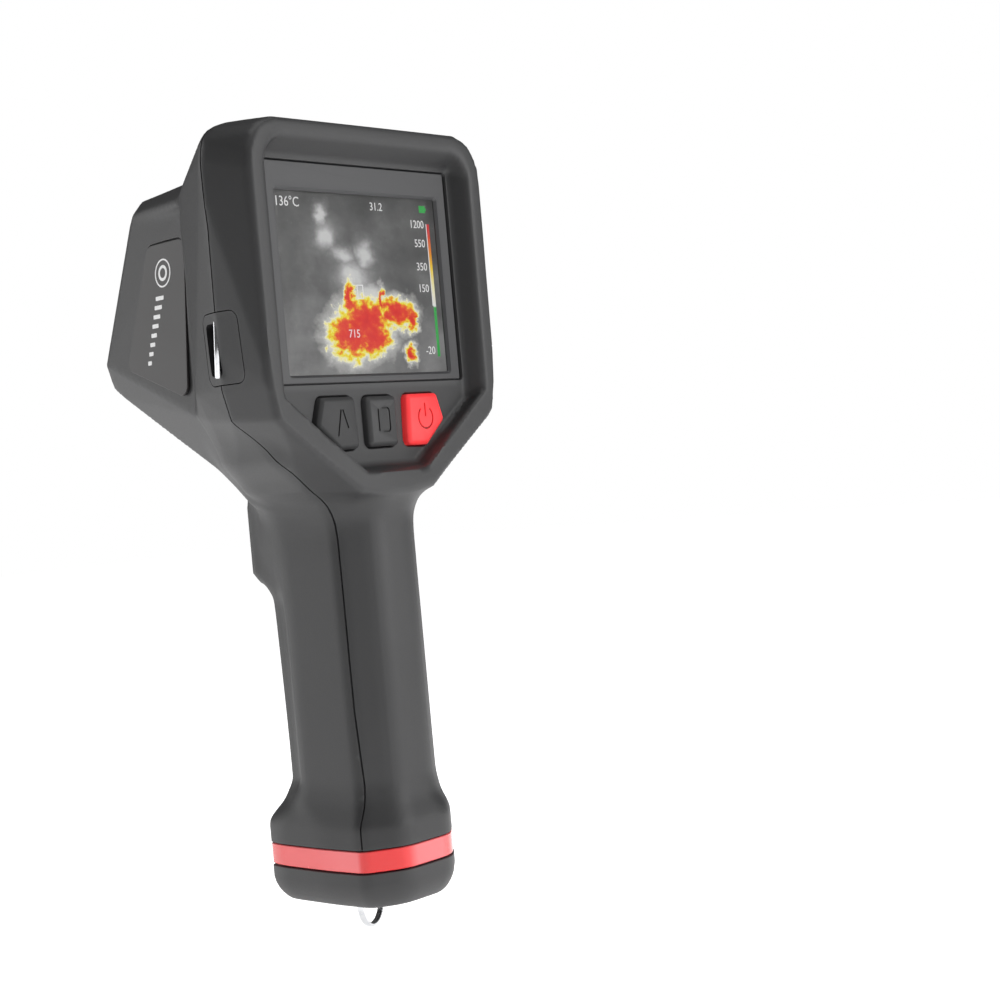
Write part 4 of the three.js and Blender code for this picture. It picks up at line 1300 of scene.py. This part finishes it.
# %% Strap bars
for name, side in (("right", 1), ("left", -1)):
    at = Matrix.Translation((side * 50.9, 13.6, 0)) @ Matrix.Rotation(math.radians(4.5), 4, "X")
    rod = [(0.0, 3.2), (0.7, 3.2), (0.95, 3.5), (0.95, 18.9), (0.7, 19.2), (0.0, 19.2)]
    piece(turned(rod, at, 28), f"strap_rod_{name}", steel, replaces=[f"strap_bar_{name}"])

# %% [markdown]
# The inner parts keep the frame's own bodies, which are right as they are. They only need
# their real finishes: solder-masked boards, die-cast alloy, a wrapped cell, plated steel.

# %% Finishes of the inner parts
def plain_finish(name, dark, light, size_mm, rough, metallic=0.0, depth_mm=0.01):
    material, shader = painted(name, dark, light, size_mm, Metallic=metallic)
    pattern = grain(material, size_mm)
    feed(material, shader, Roughness=uneven(material, pattern, rough, 0.06),
         Normal=relief(material, pattern, depth_mm))
    return material


INNER = {
    "fr4_solder_mask_green": (("#14492c", "#1b5a37", 2.5, 0.4),
                              ["key_board", "main_board", "sensor_board"]),
    "zinc_alloy_cast": (("#8d8f91", "#9b9d9f", 0.8, 0.45, 1.0),
                        ["chassis_frame", "detector_core", "card_socket"]),
    "pvc_cell_wrap_blue": (("#1d3f7a", "#244a8b", 6.0, 0.35), ["battery_cell"]),
    "abs_cradle_black": (("#151516", "#1d1d1e", 0.5, 0.5),
                         ["battery_cradle", "shutter_motor", "shutter_blade", "trigger_switch"]),
    "silicone_seal_grey": (("#3a3a3b", "#444445", 0.6, 0.7), ["keypad_mat", "lens_seal"]),
    "steel_zinc_plated": (("#b4b6b8", "#c6c8ca", 0.5, 0.28, 1.0),
                          ["board_screw_1", "board_screw_2", "board_screw_3", "board_screw_4",
                           "lanyard_pin"]),
    "card_plastic_black": (("#17181a", "#1e1f22", 0.7, 0.45), ["memory_card"]),
    "brass_gold_plated": (("#c79a2f", "#d8ad40", 0.8, 0.3, 1.0), ["battery_contact"])}
for name, (values, nodes) in INNER.items():
    made = plain_finish(name, *values)
    for inner in nodes:
        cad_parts[inner].data.materials.clear()
        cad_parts[inner].data.materials.append(made)
print("inner finishes:", sum(len(nodes) for _, nodes in INNER.values()), "nodes")

# %% [markdown]
# The light is a plain soft studio: a panel in front on the left for the far edges, a
# stronger one behind the user's right shoulder, one from above, and a bright surround. The
# floor is pale paper below the ring's lowest point. The surround is dimmer as a light than
# as a backdrop, so that the dark plastic keeps its shape.

# %% Floor and light
def panel(name, size, power, place, target=(0, 0.02, 0.12)):
    data = bpy.data.lights.new(name, "AREA")
    data.shape, data.size, data.size_y, data.energy = "RECTANGLE", size[0], size[1], power
    made = bpy.data.objects.new(name, data)
    scene.collection.objects.link(made)
    made.location = place
    made.rotation_euler = (Vector(target) - Vector(place)).to_track_quat("-Z", "Y").to_euler()
    return made


LIGHTS = [
    ("panel_left", (0.4, 0.9), 3.4, (-0.40, 0.95, 0.30)),
    ("panel_right", (0.5, 0.9), 6.2, (0.45, -0.85, 0.35)),
    ("panel_top", (1.0, 0.8), 5.0, (-0.10, -0.2, 1.1))]
for name, size, power, place in LIGHTS:
    panel(name, size, power, place)
surround = bpy.data.worlds.new("surround")
surround.use_nodes = True
scene.world = surround
tree = surround.node_tree
tree.nodes.clear()
path, seen, felt, pick, out = (tree.nodes.new(kind) for kind in (
    "ShaderNodeLightPath", "ShaderNodeBackground", "ShaderNodeBackground", "ShaderNodeMixShader",
    "ShaderNodeOutputWorld"))
seen.inputs["Color"].default_value = linear("#ffffff")
felt.inputs["Color"].default_value = linear("#ffffff")
felt.inputs["Strength"].default_value = 0.1
tree.links.new(path.outputs["Is Camera Ray"], pick.inputs[0])
tree.links.new(felt.outputs[0], pick.inputs[1])
tree.links.new(seen.outputs[0], pick.inputs[2])
tree.links.new(pick.outputs[0], out.inputs[0])
scene.view_settings.view_transform = "Standard"
paper, _ = painted("paper_floor_white", "#fbfbfb", "#ffffff", 60, 1.0, Roughness=0.9,
                   Emission_Color="#ffffff", Emission_Strength=0.95)
bm = bmesh.new()
bmesh.ops.create_grid(bm, x_segments=12, y_segments=12, size=3.0)
floor = scratch(bm, "studio_floor")
ring_low = min(v.co.z for v in ring.data.vertices)
floor.data.transform(Matrix.Translation((0, 0, ring_low - 0.003)))
floor.data.materials.append(paper)
print("floor at", round(ring_low - 0.003, 4), "m")
